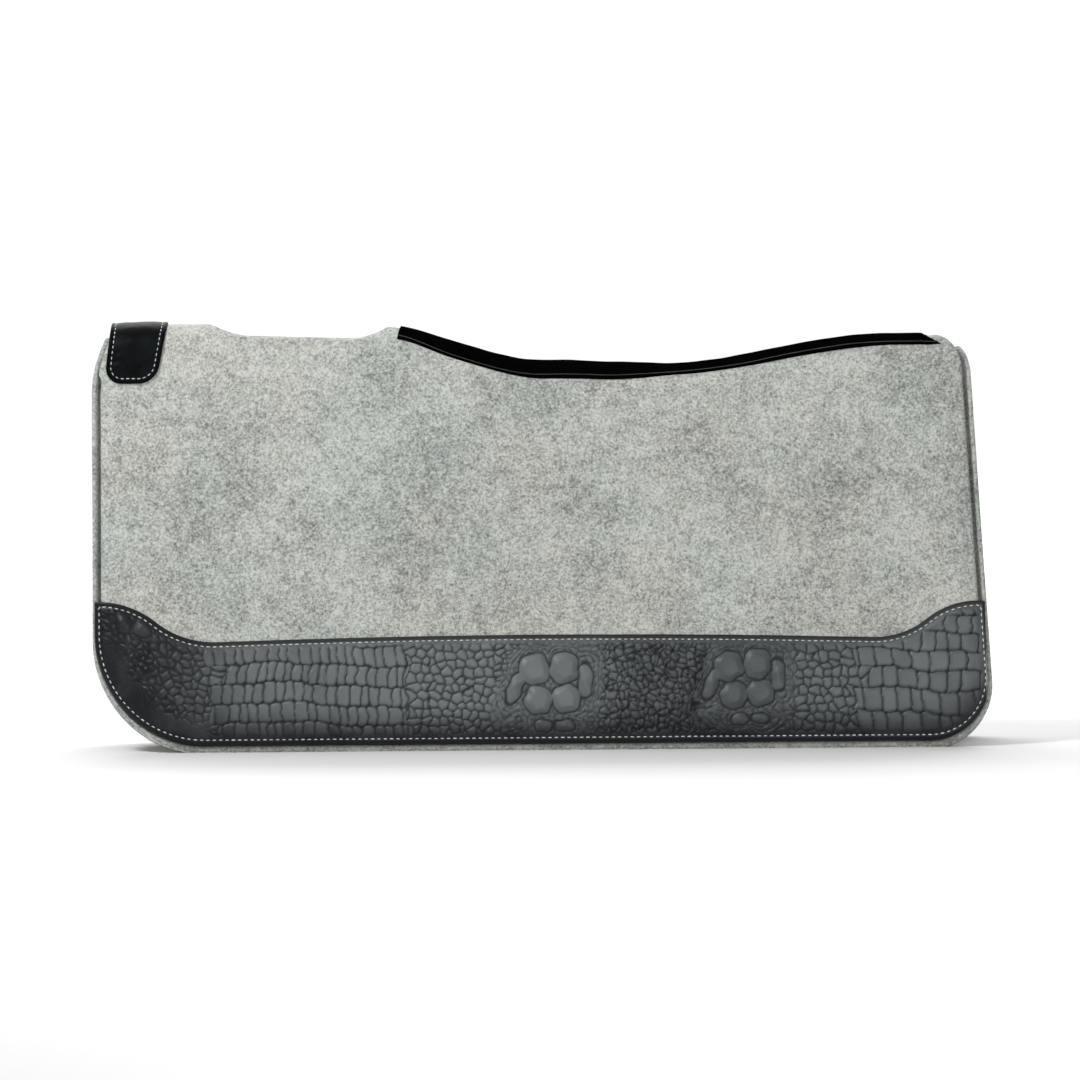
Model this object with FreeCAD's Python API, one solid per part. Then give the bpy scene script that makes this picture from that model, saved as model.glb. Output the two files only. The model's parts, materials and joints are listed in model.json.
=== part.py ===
"""Contoured western saddle pad, as sewn felt, leather and thread pieces.

The pad stands like a narrow tent on the lower edges of its two flanks. Millimetres, +X to the
rear, +Z up, origin on the ground at the middle of the footprint. Everything on one flank is
built on the right side, where y is positive, and mirrored to the left.
"""

import FreeCAD, Part
import math
import os

# Overall sizes
PAD_LENGTH = 811.0          # along the spine
HINGE_Z = 318.0             # height of the line along which a flank flexes
CONTOUR = [                 # (x, rise of the spine over the flex line), level at each point
    (-420.0, 66.5),         # over the withers
    (-300.0, 66.5),
    (-150.0, 63.0),
    (5.0, 29.2),            # the dip behind the withers
    (115.0, 27.0),
    (325.0, 52.0),          # over the loin
    (420.0, 52.0),
]
LEAN_DEG = 9.0              # each flank leans this far from upright
GAP_AT_HINGE = 22.0         # between the flanks' inner faces, at the flex line
OPEN_DEG = 50.0             # flank swung out, as over a broad back
CLOSE_DEG = 10.5            # flank swung in, as folded for carrying

# Layers, from the horse outwards
LOWER_FELT = 8.0
CORE = 5.0
UPPER_FELT = 9.0            # over the core; outside the core's edge it is CORE thicker
LEATHER = 2.2
BAND = 2.0
THREAD = 0.7                # how far a thread stands on its leather
SEAM_THREAD = 0.8

# Outline of a flank
FRONT_BOTTOM_R = 102.0
REAR_BOTTOM_R = 57.0
REAR_LEAN_DEG = 3.3         # the rear edge leans forward as it rises
FRONT_TOP_R = 117.0
FRONT_TOP_RISE = 2.0        # the front edge turns in this far above the flex line
REAR_TOP_R = 42.0
REAR_TOP_RISE = 55.5        # top of the rear corner's arc, above the flex line
MARGIN = 8.0                # the upper felt stops this far inside the lower felt
CORE_MARGIN = 32.0          # the core stops this far inside the lower felt
CORE_TOP_DROP = 24.0        # the core's top edge below the flex line

# Wear leather
LEATHER_SIDE = 2.0          # inside the felt's front and rear edges
LEATHER_BOTTOM = 7.2        # above the felt's lower edge
LEATHER_Z = 99.0            # top edge where it leaves the ears
LEATHER_CREST = 4.5         # the top edge bows up this far in between
FRONT_EAR_Z = 136.0
FRONT_EAR_X = -401.0        # where the front ear's top edge starts to fall
FRONT_EAR_RUN = 106.0
REAR_EAR_Z = 131.0
REAR_EAR_X = 393.0
REAR_EAR_RUN = 93.0

# Stitch rows
ROW_INSET = 4.4             # from the leather's edge
ROW_WIDTH = 1.0

# Wither patch
PATCH_BOTTOM_RISE = 13.5    # above the flex line
PATCH_FRONT_X = -394.0      # front edge at the patch's foot
PATCH_REAR_X = -347.0
PATCH_FRONT_RAKE = 0.115    # run of the front edge for each millimetre of rise
PATCH_REAR_RAKE = 0.19
PATCH_CORNER_R = 16.0

# Wither relief, a slot through the top between the bridge and the spine seam
SLOT_FRONT_X = -297.0
SLOT_REAR_X = -138.0
SLOT_HALF_WIDTH = 21.0

# Spine band
BAND_FRONT_X = -129.0
BAND_REAR_X = 364.0
BAND_REAR_NOTCH = 20.0      # the band's end is cut back this far on the spine
BAND_DROP = [               # (x, how far its edge hangs below the felt's top)
    (-131.0, 9.5),
    (-80.0, 14.0),
    (60.0, 14.0),
    (130.0, 9.0),
    (364.0, 9.0),
]
BAND_POINTS = 25            # along its lower edge
BAND_FRONT_SLANT = 4.0      # its front end is cut back this far on the spine
BAND_ROW_INSET = 3.0
SEAM_ROW_WIDTH = 6.0
SEAM_STOP = 5.0             # the seam's thread stops this far from an opening

# Fits and construction
CLEARANCE = 0.3             # between bodies that move
STATIONS = 29               # arch sections along the crown
TOP_RISE = 84.0             # above everything, over the flex line
BEYOND = 15.0               # past the pad's ends
BELOW = 60.0                # under the ground

LEAN = math.radians(LEAN_DEG)
THICK = LOWER_FELT + CORE + UPPER_FELT
WRAP_SIDE = LEATHER_SIDE + LEATHER                       # the upper felt ends here, inside
WRAP_BOTTOM = LEATHER_BOTTOM + LEATHER                   # the leather's turned-down rim
TOP = HINGE_Z + TOP_RISE
SIDE = PAD_LENGTH / 2 + BEYOND
CROWN_FOOT = HINGE_Z - 2 * THICK                         # the arches' legs, before they are cut
HALF_WIDTH = GAP_AT_HINGE / 2 + THICK / math.cos(LEAN)   # outer face, at the flex line
AXIS_Y = HALF_WIDTH - THICK / 2 * math.cos(LEAN)
AXIS_Z = HINGE_Z - THICK / 2 * math.sin(LEAN)
X_AXIS = FreeCAD.Vector(1, 0, 0)
Y_AXIS = FreeCAD.Vector(0, 1, 0)
Z_AXIS = FreeCAD.Vector(0, 0, 1)


def at(x, z, y=0.0):
    return FreeCAD.Vector(x, y, z)


def line(start, end):
    return Part.makeLine(start, end)


def arc(centre, radius, from_deg, to_deg):
    """An arc in a plane of constant y, with angles from +X towards +Z."""
    points = []
    for angle in (from_deg, (from_deg + to_deg) / 2, to_deg):
        turn = math.radians(angle)
        points.append(centre + at(radius * math.cos(turn), radius * math.sin(turn)))
    return Part.Arc(*points).toShape()


def chain(edges):
    """Edges that follow each other, joined by straight lines where they leave a gap."""
    ends = [(edge.valueAt(edge.FirstParameter), edge.valueAt(edge.LastParameter)) for edge in edges]
    joined = []
    for i, edge in enumerate(edges):
        joined.append(edge)
        here, there = ends[i][1], ends[(i + 1) % len(edges)][0]
        if here.distanceToPoint(there) > 1e-4:
            joined.append(line(here, there))
    return Part.Wire(joined)


def ease(stations, x):
    """Height at x of a line that is level at each station and turns smoothly between them."""
    if x <= stations[0][0]:
        return stations[0][1]
    for (x0, z0), (x1, z1) in zip(stations, stations[1:]):
        if x <= x1:
            t = (x - x0) / (x1 - x0)
            return z0 + (z1 - z0) * t * t * (3 - 2 * t)
    return stations[-1][1]


def top_height(x):
    return HINGE_Z + ease(CONTOUR, x)


# Regions seen from the side, as prisms along y

def prism(wire):
    face = Part.Face(wire)
    face.translate(Y_AXIS * -SIDE)
    return face.extrude(Y_AXIS * 2 * SIDE)


def lower_front_corner(side, bottom):
    radius = FRONT_BOTTOM_R - side
    centre = at(-PAD_LENGTH / 2 + side + radius, bottom + radius)
    return arc(centre, radius, 180, 270)


def lower_rear_corner(side, bottom):
    radius = REAR_BOTTOM_R - side
    centre = at(PAD_LENGTH / 2 - side - radius, bottom + radius)
    return arc(centre, radius, 270, 360 + REAR_LEAN_DEG)


def rear_edge_x(side, bottom, z):
    """The rear edge's x at height z, on its straight stretch."""
    radius = REAR_BOTTOM_R - side
    lean = math.radians(REAR_LEAN_DEG)
    foot_x = PAD_LENGTH / 2 - side - radius + radius * math.cos(lean)
    foot_z = bottom + radius + radius * math.sin(lean)
    return foot_x - (z - foot_z) * math.tan(lean)


def pad_outline(side, bottom):
    """The pad's side view, inset by side at the front and rear and by bottom below."""
    front_r = FRONT_TOP_R - side
    front_centre = at(-PAD_LENGTH / 2 + FRONT_TOP_R, HINGE_Z + FRONT_TOP_RISE)
    front_end = 180 - math.degrees(math.asin((TOP_RISE - FRONT_TOP_RISE) / front_r))
    rear_r = REAR_TOP_R - side
    lean = math.radians(REAR_LEAN_DEG)
    rear_centre_z = HINGE_Z + REAR_TOP_RISE - rear_r
    tangent_z = rear_centre_z + rear_r * math.sin(lean)
    rear_centre = at(rear_edge_x(side, bottom, tangent_z) - rear_r * math.cos(lean), rear_centre_z)
    return chain([
        arc(front_centre, front_r, front_end, 180),
        lower_front_corner(side, bottom),
        lower_rear_corner(side, bottom),
        arc(rear_centre, rear_r, REAR_LEAN_DEG, 90),
        line(at(rear_centre.x, TOP), at(rear_centre.x - 1, TOP)),
    ])


def fall(x0, z0, x1, z1):
    """Two equal arcs from a level start to a level end."""
    run, rise = abs(x1 - x0), z0 - z1
    radius = (run * run + rise * rise) / (4 * abs(rise))
    turn = math.degrees(math.asin(run / 2 / radius))
    way = math.copysign(1, x1 - x0) * math.copysign(1, rise)
    upper = arc(at(x0, z0 - math.copysign(radius, rise)), math.copysign(radius, rise),
                90, 90 - way * turn)
    lower = arc(at(x1, z1 + math.copysign(radius, rise)), math.copysign(radius, rise),
                270 - way * turn, 270)
    return [upper, lower]


def leather_outline():
    side, bottom = LEATHER_SIDE, LEATHER_BOTTOM
    front_x = -PAD_LENGTH / 2 + side
    rear_x = rear_edge_x(side, bottom, REAR_EAR_Z)
    rear_fall = fall(REAR_EAR_X - REAR_EAR_RUN, LEATHER_Z, REAR_EAR_X, REAR_EAR_Z)
    front_fall = fall(FRONT_EAR_X, FRONT_EAR_Z, FRONT_EAR_X + FRONT_EAR_RUN, LEATHER_Z)
    front_foot, rear_foot = FRONT_EAR_X + FRONT_EAR_RUN, REAR_EAR_X - REAR_EAR_RUN
    crest = at((front_foot + rear_foot) / 2, LEATHER_Z + LEATHER_CREST)
    bow = Part.Arc(at(front_foot, LEATHER_Z), crest, at(rear_foot, LEATHER_Z)).toShape()
    return chain([
        line(at(front_x, FRONT_EAR_Z), at(FRONT_EAR_X, FRONT_EAR_Z)),
        *front_fall,
        bow,
        *rear_fall,
        line(at(REAR_EAR_X, REAR_EAR_Z), at(rear_x, REAR_EAR_Z)),
        reverse_arc(lower_rear_corner(side, bottom)),
        reverse_arc(lower_front_corner(side, bottom)),
    ])


def reverse_arc(edge):
    """The same arc, run from its end to its start."""
    first, last = edge.FirstParameter, edge.LastParameter
    return Part.Arc(edge.valueAt(last), edge.valueAt((first + last) / 2), edge.valueAt(first)).toShape()


def patch_outline(inset=0.0):
    foot = HINGE_Z + PATCH_BOTTOM_RISE + inset
    radius = PATCH_CORNER_R - inset
    front = PATCH_FRONT_X + inset
    rear = PATCH_REAR_X - inset
    front_lean = math.atan(PATCH_FRONT_RAKE)
    rear_lean = math.atan(PATCH_REAR_RAKE)
    front_centre = at(front + radius / math.cos(front_lean) + PATCH_FRONT_RAKE * radius, foot + radius)
    rear_centre = at(rear - radius / math.cos(rear_lean) + PATCH_REAR_RAKE * radius, foot + radius)
    front_top = at(front + (TOP - foot) * PATCH_FRONT_RAKE, TOP)
    rear_top = at(rear + (TOP - foot) * PATCH_REAR_RAKE, TOP)
    return chain([
        arc(front_centre, radius, 180 - math.degrees(front_lean), 270),
        arc(rear_centre, radius, 270, 360 - math.degrees(rear_lean)),
        line(rear_top, front_top),
    ])


def band_outline(inset=0.0, depth=None):
    """The band's side view above its lower edge, or a strip of it that is depth high."""
    step = (BAND_REAR_X - BAND_FRONT_X) / (BAND_POINTS - 1)
    places = [BAND_FRONT_X + step * i for i in range(BAND_POINTS)]
    lower = [at(x, top_height(x) - ease(BAND_DROP, x) + inset) for x in places]
    edge = Part.BSplineCurve()
    edge.interpolate(lower)
    if depth is None:
        return chain([edge.toShape(),
                      line(at(BAND_REAR_X - BAND_REAR_NOTCH, TOP), at(BAND_FRONT_X + BAND_FRONT_SLANT, TOP))])
    upper = Part.BSplineCurve()
    upper.interpolate([point + at(0, depth) for point in reversed(lower)])
    return chain([edge.toShape(), upper.toShape()])


# Flank: flat slabs on the leaning plane

def to_flank(shape):
    """Turn a shape from the flank's own axes, with its outer face at y = 0, into place."""
    shape.rotate(FreeCAD.Vector(), X_AXIS, LEAN_DEG)
    shape.translate(FreeCAD.Vector(0, HALF_WIDTH, HINGE_Z))
    return shape


def slab(inner, outer, above=TOP - HINGE_Z):
    """The layer from inner to outer, counted from the horse's side, up to above the flex line."""
    height = HINGE_Z / math.cos(LEAN) + BELOW + above
    box = Part.makeBox(2 * SIDE, outer - inner, height)
    box.translate(FreeCAD.Vector(-SIDE, inner - THICK, above - height))
    return to_flank(box)


def flex_cylinder(radius):
    return Part.makeCylinder(radius, 2 * SIDE, FreeCAD.Vector(-SIDE, AXIS_Y, AXIS_Z), X_AXIS)


def flank_region():
    """All that swings: the slab below the flex line and its half-round top."""
    return slab(0, THICK, 0).fuse(flex_cylinder(THICK / 2))


def upper_prism():
    """The upper felt's side view: inside its margin, but out to the leather where leather wraps it."""
    inner = prism(pad_outline(MARGIN, WRAP_BOTTOM))
    wrapped = prism(pad_outline(WRAP_SIDE, WRAP_BOTTOM))
    leathered = prism(leather_outline()).fuse(prism(patch_outline()))
    return inner.fuse(wrapped.common(leathered))


def core_insert():
    outline = prism(pad_outline(CORE_MARGIN, CORE_MARGIN))
    below = slab(LOWER_FELT, LOWER_FELT + CORE, -CORE_TOP_DROP)
    return below.common(outline)


def flank_lower_felt():
    layer = slab(-1, LOWER_FELT).common(flank_region())
    return layer.common(prism(pad_outline(0, 0)))


def flank_upper_felt(core):
    layer = slab(LOWER_FELT, THICK + 1).common(flank_region())
    return layer.common(upper_prism()).cut(core)


def wear_leather():
    """A flat sheet over the upper felt, with its rim turned down to the lower felt."""
    outline = prism(leather_outline())
    sheet = slab(THICK, THICK + LEATHER).common(outline)
    wrapped = prism(pad_outline(WRAP_SIDE, WRAP_BOTTOM))
    rim = slab(LOWER_FELT, THICK).common(outline).cut(wrapped)
    return sheet.fuse(rim).removeSplitter()


def leather_stitching():
    wire = leather_outline()
    outer = prism(wire.makeOffset2D(-ROW_INSET + ROW_WIDTH / 2))
    inner = prism(wire.makeOffset2D(-ROW_INSET - ROW_WIDTH / 2))
    return slab(THICK + LEATHER, THICK + LEATHER + THREAD).common(outer.cut(inner))


# Crown: arches over the spine

def arch(x):
    """The outer arch at x, tangent to both flanks' outer faces: its radius and centre height."""
    apex = top_height(x)
    radius = (HALF_WIDTH * math.cos(LEAN) + (HINGE_Z - apex) * math.sin(LEAN)) / (1 - math.sin(LEAN))
    return radius, apex - radius


def half_arch(x, outer, inner):
    """Half a section of a layer between two offsets from the felt's outer face."""
    radius, centre = arch(x)
    feet = []
    edges = []
    for r, degrees in ((radius + outer, (90, LEAN_DEG)), (radius + inner, (LEAN_DEG, 90))):
        points = []
        for angle in (degrees[0], sum(degrees) / 2, degrees[1]):
            turn = math.radians(angle)
            points.append(FreeCAD.Vector(x, r * math.cos(turn), centre + r * math.sin(turn)))
        edges.append(Part.Arc(*points).toShape())
        tangent = points[2] if degrees[0] == 90 else points[0]
        drop = tangent.z - CROWN_FOOT
        feet.append((tangent, FreeCAD.Vector(x, tangent.y + drop * math.tan(LEAN), CROWN_FOOT)))
    (outer_tangent, outer_foot), (inner_tangent, inner_foot) = feet
    apex_outer = FreeCAD.Vector(x, 0, centre + radius + outer)
    apex_inner = FreeCAD.Vector(x, 0, centre + radius + inner)
    return Part.Wire([
        edges[0],
        line(outer_tangent, outer_foot),
        line(outer_foot, inner_foot),
        line(inner_foot, inner_tangent),
        edges[1],
        line(apex_inner, apex_outer),
    ])


def half_shell(outer, inner):
    step = 2 * SIDE / (STATIONS - 1)
    sections = [half_arch(-SIDE + step * i, outer, inner) for i in range(STATIONS)]
    return Part.makeLoft(sections, True, False)


def whole_shell(outer, inner, region):
    """A layer over both halves, within a side-view region."""
    half = half_shell(outer, inner).common(region)
    return half.fuse(mirror(half)).removeSplitter()


def mirror(shape):
    return shape.mirror(FreeCAD.Vector(), Y_AXIS)


def swing_cutter():
    """The room that a flank sweeps beside the crown, with clearance."""
    room = flex_cylinder(THICK / 2 + CLEARANCE)
    for degrees in (-CLOSE_DEG, 0, OPEN_DEG):
        swung = slab(-CLEARANCE, THICK + CLEARANCE, 0)
        swung.rotate(FreeCAD.Vector(0, AXIS_Y, AXIS_Z), X_AXIS, degrees)
        room = room.fuse(swung)
    return room


def relief_slot():
    """The wither relief: a wedge between two cones, so its walls stand square to the felt."""
    radius, centre = arch(SLOT_FRONT_X)
    slope = math.tan(math.asin(SLOT_HALF_WIDTH / radius))
    height = TOP - centre
    end = radius * slope
    front = SLOT_FRONT_X + end
    rear = SLOT_REAR_X - end
    wedge = Part.makePolygon([FreeCAD.Vector(front, 0, centre),
                              FreeCAD.Vector(front, height * slope, TOP),
                              FreeCAD.Vector(front, -height * slope, TOP),
                              FreeCAD.Vector(front, 0, centre)])
    slot = Part.Face(wedge).extrude(X_AXIS * (rear - front))
    for x in (front, rear):
        slot = slot.fuse(Part.makeCone(0, height * slope, height, at(x, centre), Z_AXIS))
    return slot


def crown_half(outer, inner, region, swing, slot):
    return half_shell(outer, inner).common(region).cut(swing).cut(slot)


def seam_strip():
    """Thread rows under the seam, ahead of the relief and behind it."""
    half_width = SEAM_ROW_WIDTH / 2
    rows = ((-PAD_LENGTH / 2 + 2 * MARGIN, SLOT_FRONT_X - SEAM_STOP),
            (SLOT_REAR_X + SEAM_STOP, BAND_REAR_X - SEAM_STOP))
    strips = [Part.makeBox(end - start, 2 * half_width, TOP, FreeCAD.Vector(start, -half_width, 0))
              for start, end in rows]
    return whole_shell(-THICK, -THICK - SEAM_THREAD, strips[0].fuse(strips[1]))


def export(shapes):
    os.makedirs("parts", exist_ok=True)
    for name, shape in shapes.items():
        solids = shape.Solids
        solid = solids[0] if len(solids) == 1 else Part.Compound(solids)
        solid.exportStep("parts/" + name + ".step")
        box = solid.BoundBox
        print(f"{name:28s} {len(solids)} solids, {solid.Volume / 1000:8.1f} cm3, valid {solid.isValid()}",
              f"x {box.XMin:.1f} {box.XMax:.1f}", f"y {box.YMin:.1f} {box.YMax:.1f}",
              f"z {box.ZMin:.1f} {box.ZMax:.1f}", sep=", ")


def main():
    shapes = {}
    core = core_insert()
    flank = {
        "lower_felt": flank_lower_felt(),
        "core_insert": core,
        "upper_felt": flank_upper_felt(core),
        "wear_leather": wear_leather(),
        "leather_stitching": leather_stitching(),
    }
    swing = swing_cutter()
    slot = relief_slot()
    split = LOWER_FELT - THICK
    flank["crown_upper_felt"] = crown_half(0, split, upper_prism(), swing, slot)
    flank["crown_lower_felt"] = crown_half(split, -THICK, prism(pad_outline(0, 0)), swing, slot)
    for name, shape in flank.items():
        shapes["right_" + name] = shape
        shapes["left_" + name] = mirror(shape)

    row = ROW_INSET - ROW_WIDTH / 2
    patch_row = prism(patch_outline(row)).cut(prism(patch_outline(row + ROW_WIDTH)))
    band_row = prism(band_outline(BAND_ROW_INSET, ROW_WIDTH))
    shapes["wither_patch"] = whole_shell(LEATHER, 0, prism(patch_outline()))
    shapes["wither_patch_stitching"] = whole_shell(LEATHER + THREAD, LEATHER, patch_row)
    shapes["spine_band"] = whole_shell(BAND, 0, prism(band_outline()))
    shapes["spine_band_stitching"] = whole_shell(BAND + THREAD, BAND, band_row)
    shapes["spine_seam_thread"] = seam_strip()
    export(shapes)


main()
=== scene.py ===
"""Contoured western saddle pad: felt halves, spine band, wither patch, wear leathers and thread.

Shapes are worked out in millimetres on the pad's own surface, where x runs along the spine, t is
the distance down from the spine over the felt's outer face, and n is the height above that face.
Meshes are made in metres.
"""

from __future__ import annotations

import json
import logging
import math
from dataclasses import dataclass, field
from enum import Enum
from typing import Any, Iterable, Sequence

import bmesh
import bpy
import numpy as np
from mathutils import Matrix, Vector
from mathutils.kdtree import KDTree


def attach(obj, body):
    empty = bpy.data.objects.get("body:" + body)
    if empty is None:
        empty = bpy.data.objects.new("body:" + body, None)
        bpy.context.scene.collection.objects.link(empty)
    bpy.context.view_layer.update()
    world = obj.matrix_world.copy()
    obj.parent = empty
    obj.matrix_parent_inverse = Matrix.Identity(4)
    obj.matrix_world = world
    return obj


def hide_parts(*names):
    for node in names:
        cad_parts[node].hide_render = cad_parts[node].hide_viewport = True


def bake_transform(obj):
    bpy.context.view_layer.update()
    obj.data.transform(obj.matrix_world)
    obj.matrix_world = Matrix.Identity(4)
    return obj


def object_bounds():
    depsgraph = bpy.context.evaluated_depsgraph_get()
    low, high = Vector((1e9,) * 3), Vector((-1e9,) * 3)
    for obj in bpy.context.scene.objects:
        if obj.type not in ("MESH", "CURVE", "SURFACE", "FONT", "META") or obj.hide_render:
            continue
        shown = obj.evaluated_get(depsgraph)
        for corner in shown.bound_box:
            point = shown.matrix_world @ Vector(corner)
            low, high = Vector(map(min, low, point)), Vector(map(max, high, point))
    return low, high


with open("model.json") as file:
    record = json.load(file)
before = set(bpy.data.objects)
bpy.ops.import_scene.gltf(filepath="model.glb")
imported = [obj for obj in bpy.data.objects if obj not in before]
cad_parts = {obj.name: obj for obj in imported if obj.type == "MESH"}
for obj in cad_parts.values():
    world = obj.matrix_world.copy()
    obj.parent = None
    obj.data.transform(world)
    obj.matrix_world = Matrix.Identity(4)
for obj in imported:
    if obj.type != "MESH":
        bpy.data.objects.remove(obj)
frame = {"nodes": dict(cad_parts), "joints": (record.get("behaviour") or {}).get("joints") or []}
cad_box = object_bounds()

LOG = logging.getLogger("saddle_pad")
MM = 0.001
Array = np.ndarray
Colour = tuple[float, float, float]


class Side(Enum):
    """A half of the pad, with the sign of its y."""

    LEFT = -1
    RIGHT = 1

    @property
    def word(self) -> str:
        """The side's name in lower case."""
        return self.name.lower()

    @property
    def body(self) -> str:
        """The moving body of this side's flank."""
        return f"{self.word}_flank"


def smooth(value: Array | float, low: float, high: float) -> Array:
    """Rise smoothly from 0 at low to 1 at high.

    Args:
        value: where to read the rise.
        low: where it starts.
        high: where it ends.

    Returns:
        The rise at each value.
    """
    t = np.clip((np.asarray(value, float) - low) / (high - low), 0, 1)
    return t * t * (3 - 2 * t)


def ease(stations: Sequence[tuple[float, float]], x: Array) -> Array:
    """Read a line that is level at each station and turns smoothly between them."""
    x = np.asarray(x, float)
    height = np.full_like(x, stations[0][1])
    for (x0, z0), (x1, z1) in zip(stations, stations[1:]):
        height = np.where(x > x0, z0 + (z1 - z0) * smooth(x, x0, x1), height)
    return height


def waves(x: Array, t: Array, seed: int, longest: float, shortest: float, count: int = 9) -> Array:
    """Sum plain waves of random direction, for the slow unevenness of felt and leather.

    Args:
        x: distance along the spine.
        t: distance down the flank.
        seed: fixes the waves.
        longest: longest wavelength.
        shortest: shortest wavelength.
        count: how many waves.

    Returns:
        Heights of about -1 to 1.
    """
    rng = np.random.default_rng(seed)
    total = np.zeros(np.broadcast(x, t).shape)
    for _ in range(count):
        angle, phase = rng.uniform(0, 2 * math.pi, 2)
        turn = 2 * math.pi / rng.uniform(shortest, longest)
        total += np.sin(turn * (math.cos(angle) * x + math.sin(angle) * t) + phase)
    return total / math.sqrt(count)


def bell(distance: Array, width: float) -> Array:
    """Fall from 1 at no distance towards 0 a few widths away."""
    return np.exp(-(distance / width) ** 2)


def round_over(distance: Array, radius: Array | float) -> Array:
    """How far a rounded edge has dropped, at a distance in from the edge."""
    inside = np.clip(radius - distance, 0, radius)
    return radius - np.sqrt(np.maximum(radius * radius - inside * inside, 0))


# The pad's surface


@dataclass(frozen=True)
class PadShape:
    """The felt's outer face and its outline, in millimetres, as on the right half."""

    length: float
    hinge_z: float
    lean: float = math.radians(9.0)
    lower_felt: float = 8.0
    core: float = 5.0
    upper_felt: float = 9.0
    gap_at_hinge: float = 22.0
    contour: tuple[tuple[float, float], ...] = (
        (-420, 66.5), (-300, 66.5), (-150, 63), (5, 29.2), (115, 27), (325, 52), (420, 52))
    front_bottom_r: float = 102.0
    rear_bottom_r: float = 57.0
    rear_lean: float = math.radians(3.3)
    front_top_r: float = 117.0
    front_top_rise: float = 2.0
    rear_top_r: float = 42.0
    rear_top_rise: float = 55.5
    slot_front: float = -297.0
    slot_rear: float = -138.0
    slot_half_width: float = 21.0
    pinch: float = 3.0
    pinch_width: float = 26.0
    loin_rise: float = 2.6
    loin: tuple[float, float] = (350.0, 378.0)
    slow: float = 0.55
    quick: float = 0.22

    @property
    def thick(self) -> float:
        """Thickness of all layers together."""
        return self.lower_felt + self.core + self.upper_felt

    @classmethod
    def lean_drop(cls) -> float:
        """How far the flex axis, in mid thickness, lies below the outer face's flex line."""
        return (cls.lower_felt + cls.core + cls.upper_felt) / 2 * math.sin(cls.lean)

    @property
    def half_width(self) -> float:
        """Outer face's distance from the middle at the flex line."""
        return self.gap_at_hinge / 2 + self.thick / math.cos(self.lean)

    def arch(self, x: Array) -> tuple[Array, Array]:
        """Radius and centre height of the arch over the spine at x."""
        apex = self.hinge_z + ease(self.contour, x)
        tilt = math.sin(self.lean)
        radius = (self.half_width * math.cos(self.lean) + (self.hinge_z - apex) * tilt) / (1 - tilt)
        return radius, apex - radius

    def surface(self, x: Array, t: Array, n: Array | float) -> Array:
        """Points at n above the felt's outer face; a negative t is on the left half.

        Args:
            x: distance along the spine.
            t: distance down from the spine.
            n: height above the outer face.

        Returns:
            An array of points, one row of three for each.
        """
        radius, centre = self.arch(x)
        down = np.abs(t)
        tangent = radius * (math.pi / 2 - self.lean)
        angle = math.pi / 2 - np.minimum(down, tangent) / radius
        over = np.maximum(down - tangent, 0)
        y = (radius + n) * np.cos(angle) + over * math.sin(self.lean)
        z = centre + (radius + n) * np.sin(angle) - over * math.cos(self.lean)
        return np.stack(np.broadcast_arrays(np.asarray(x, float), np.sign(t + 1e-9) * y, z), axis=-1)

    def slab(self, x: Array, t: Array, outer: Array, inner: Array) -> Array:
        """Points of an outer face and then of an inner one, each given by its height."""
        return np.concatenate([self.surface(x, t, n).reshape(-1, 3) for n in (outer, inner)])

    def height(self, x: Array, t: Array) -> Array:
        """Height of the outer face at x and t."""
        return self.surface(x, t, 0.0)[..., 2]

    def down_to(self, x: Array, z: Array) -> Array:
        """The t at which the outer face passes height z."""
        radius, centre = self.arch(x)
        tangent_z = centre + radius * math.sin(self.lean)
        tangent = radius * (math.pi / 2 - self.lean)
        flat = tangent + (tangent_z - z) / math.cos(self.lean)
        curved = radius * np.arccos(np.clip((z - centre) / radius, -1, 1))
        return np.where(z < tangent_z, flat, curved)

    def front(self, z: Array, side: Array | float, bottom: float) -> Array:
        """The front edge's x at height z, inset by side and bottom."""
        low = self.front_bottom_r - side
        high = self.front_top_r - side
        dip = np.clip(low - (z - bottom), 0, low)
        rise = np.clip(z - self.hinge_z - self.front_top_rise, 0, high)
        return (-self.length / 2 + side + low - np.sqrt(low * low - dip * dip)
                + high - np.sqrt(high * high - rise * rise))

    def rear_line(self, z: Array, side: Array | float, bottom: float) -> Array:
        """The rear edge's straight stretch, carried on to height z."""
        radius = self.rear_bottom_r - side
        foot_x = self.length / 2 - side - radius * (1 - math.cos(self.rear_lean))
        foot_z = bottom + radius * (1 + math.sin(self.rear_lean))
        return foot_x - (z - foot_z) * math.tan(self.rear_lean)

    def rear(self, z: Array, side: Array | float, bottom: float) -> Array:
        """The rear edge's x at height z, inset by side and bottom."""
        low = self.rear_bottom_r - side
        line = self.rear_line(z, side, bottom)
        dip = np.clip(low - (z - bottom), -low * math.sin(self.rear_lean), low)
        corner = self.length / 2 - side - low + np.sqrt(low * low - dip * dip)
        high = self.rear_top_r - side
        centre_z = self.hinge_z + self.rear_top_rise - high
        tangent_z = centre_z + high * math.sin(self.rear_lean)
        centre_x = self.rear_line(tangent_z, side, bottom) - high * math.cos(self.rear_lean)
        rise = np.clip(z - centre_z, high * math.sin(self.rear_lean), high)
        top = centre_x + np.sqrt(high * high - rise * rise)
        edge = np.where(z < bottom + low * (1 + math.sin(self.rear_lean)), corner, line)
        return np.where(z > tangent_z, top, edge)

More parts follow.
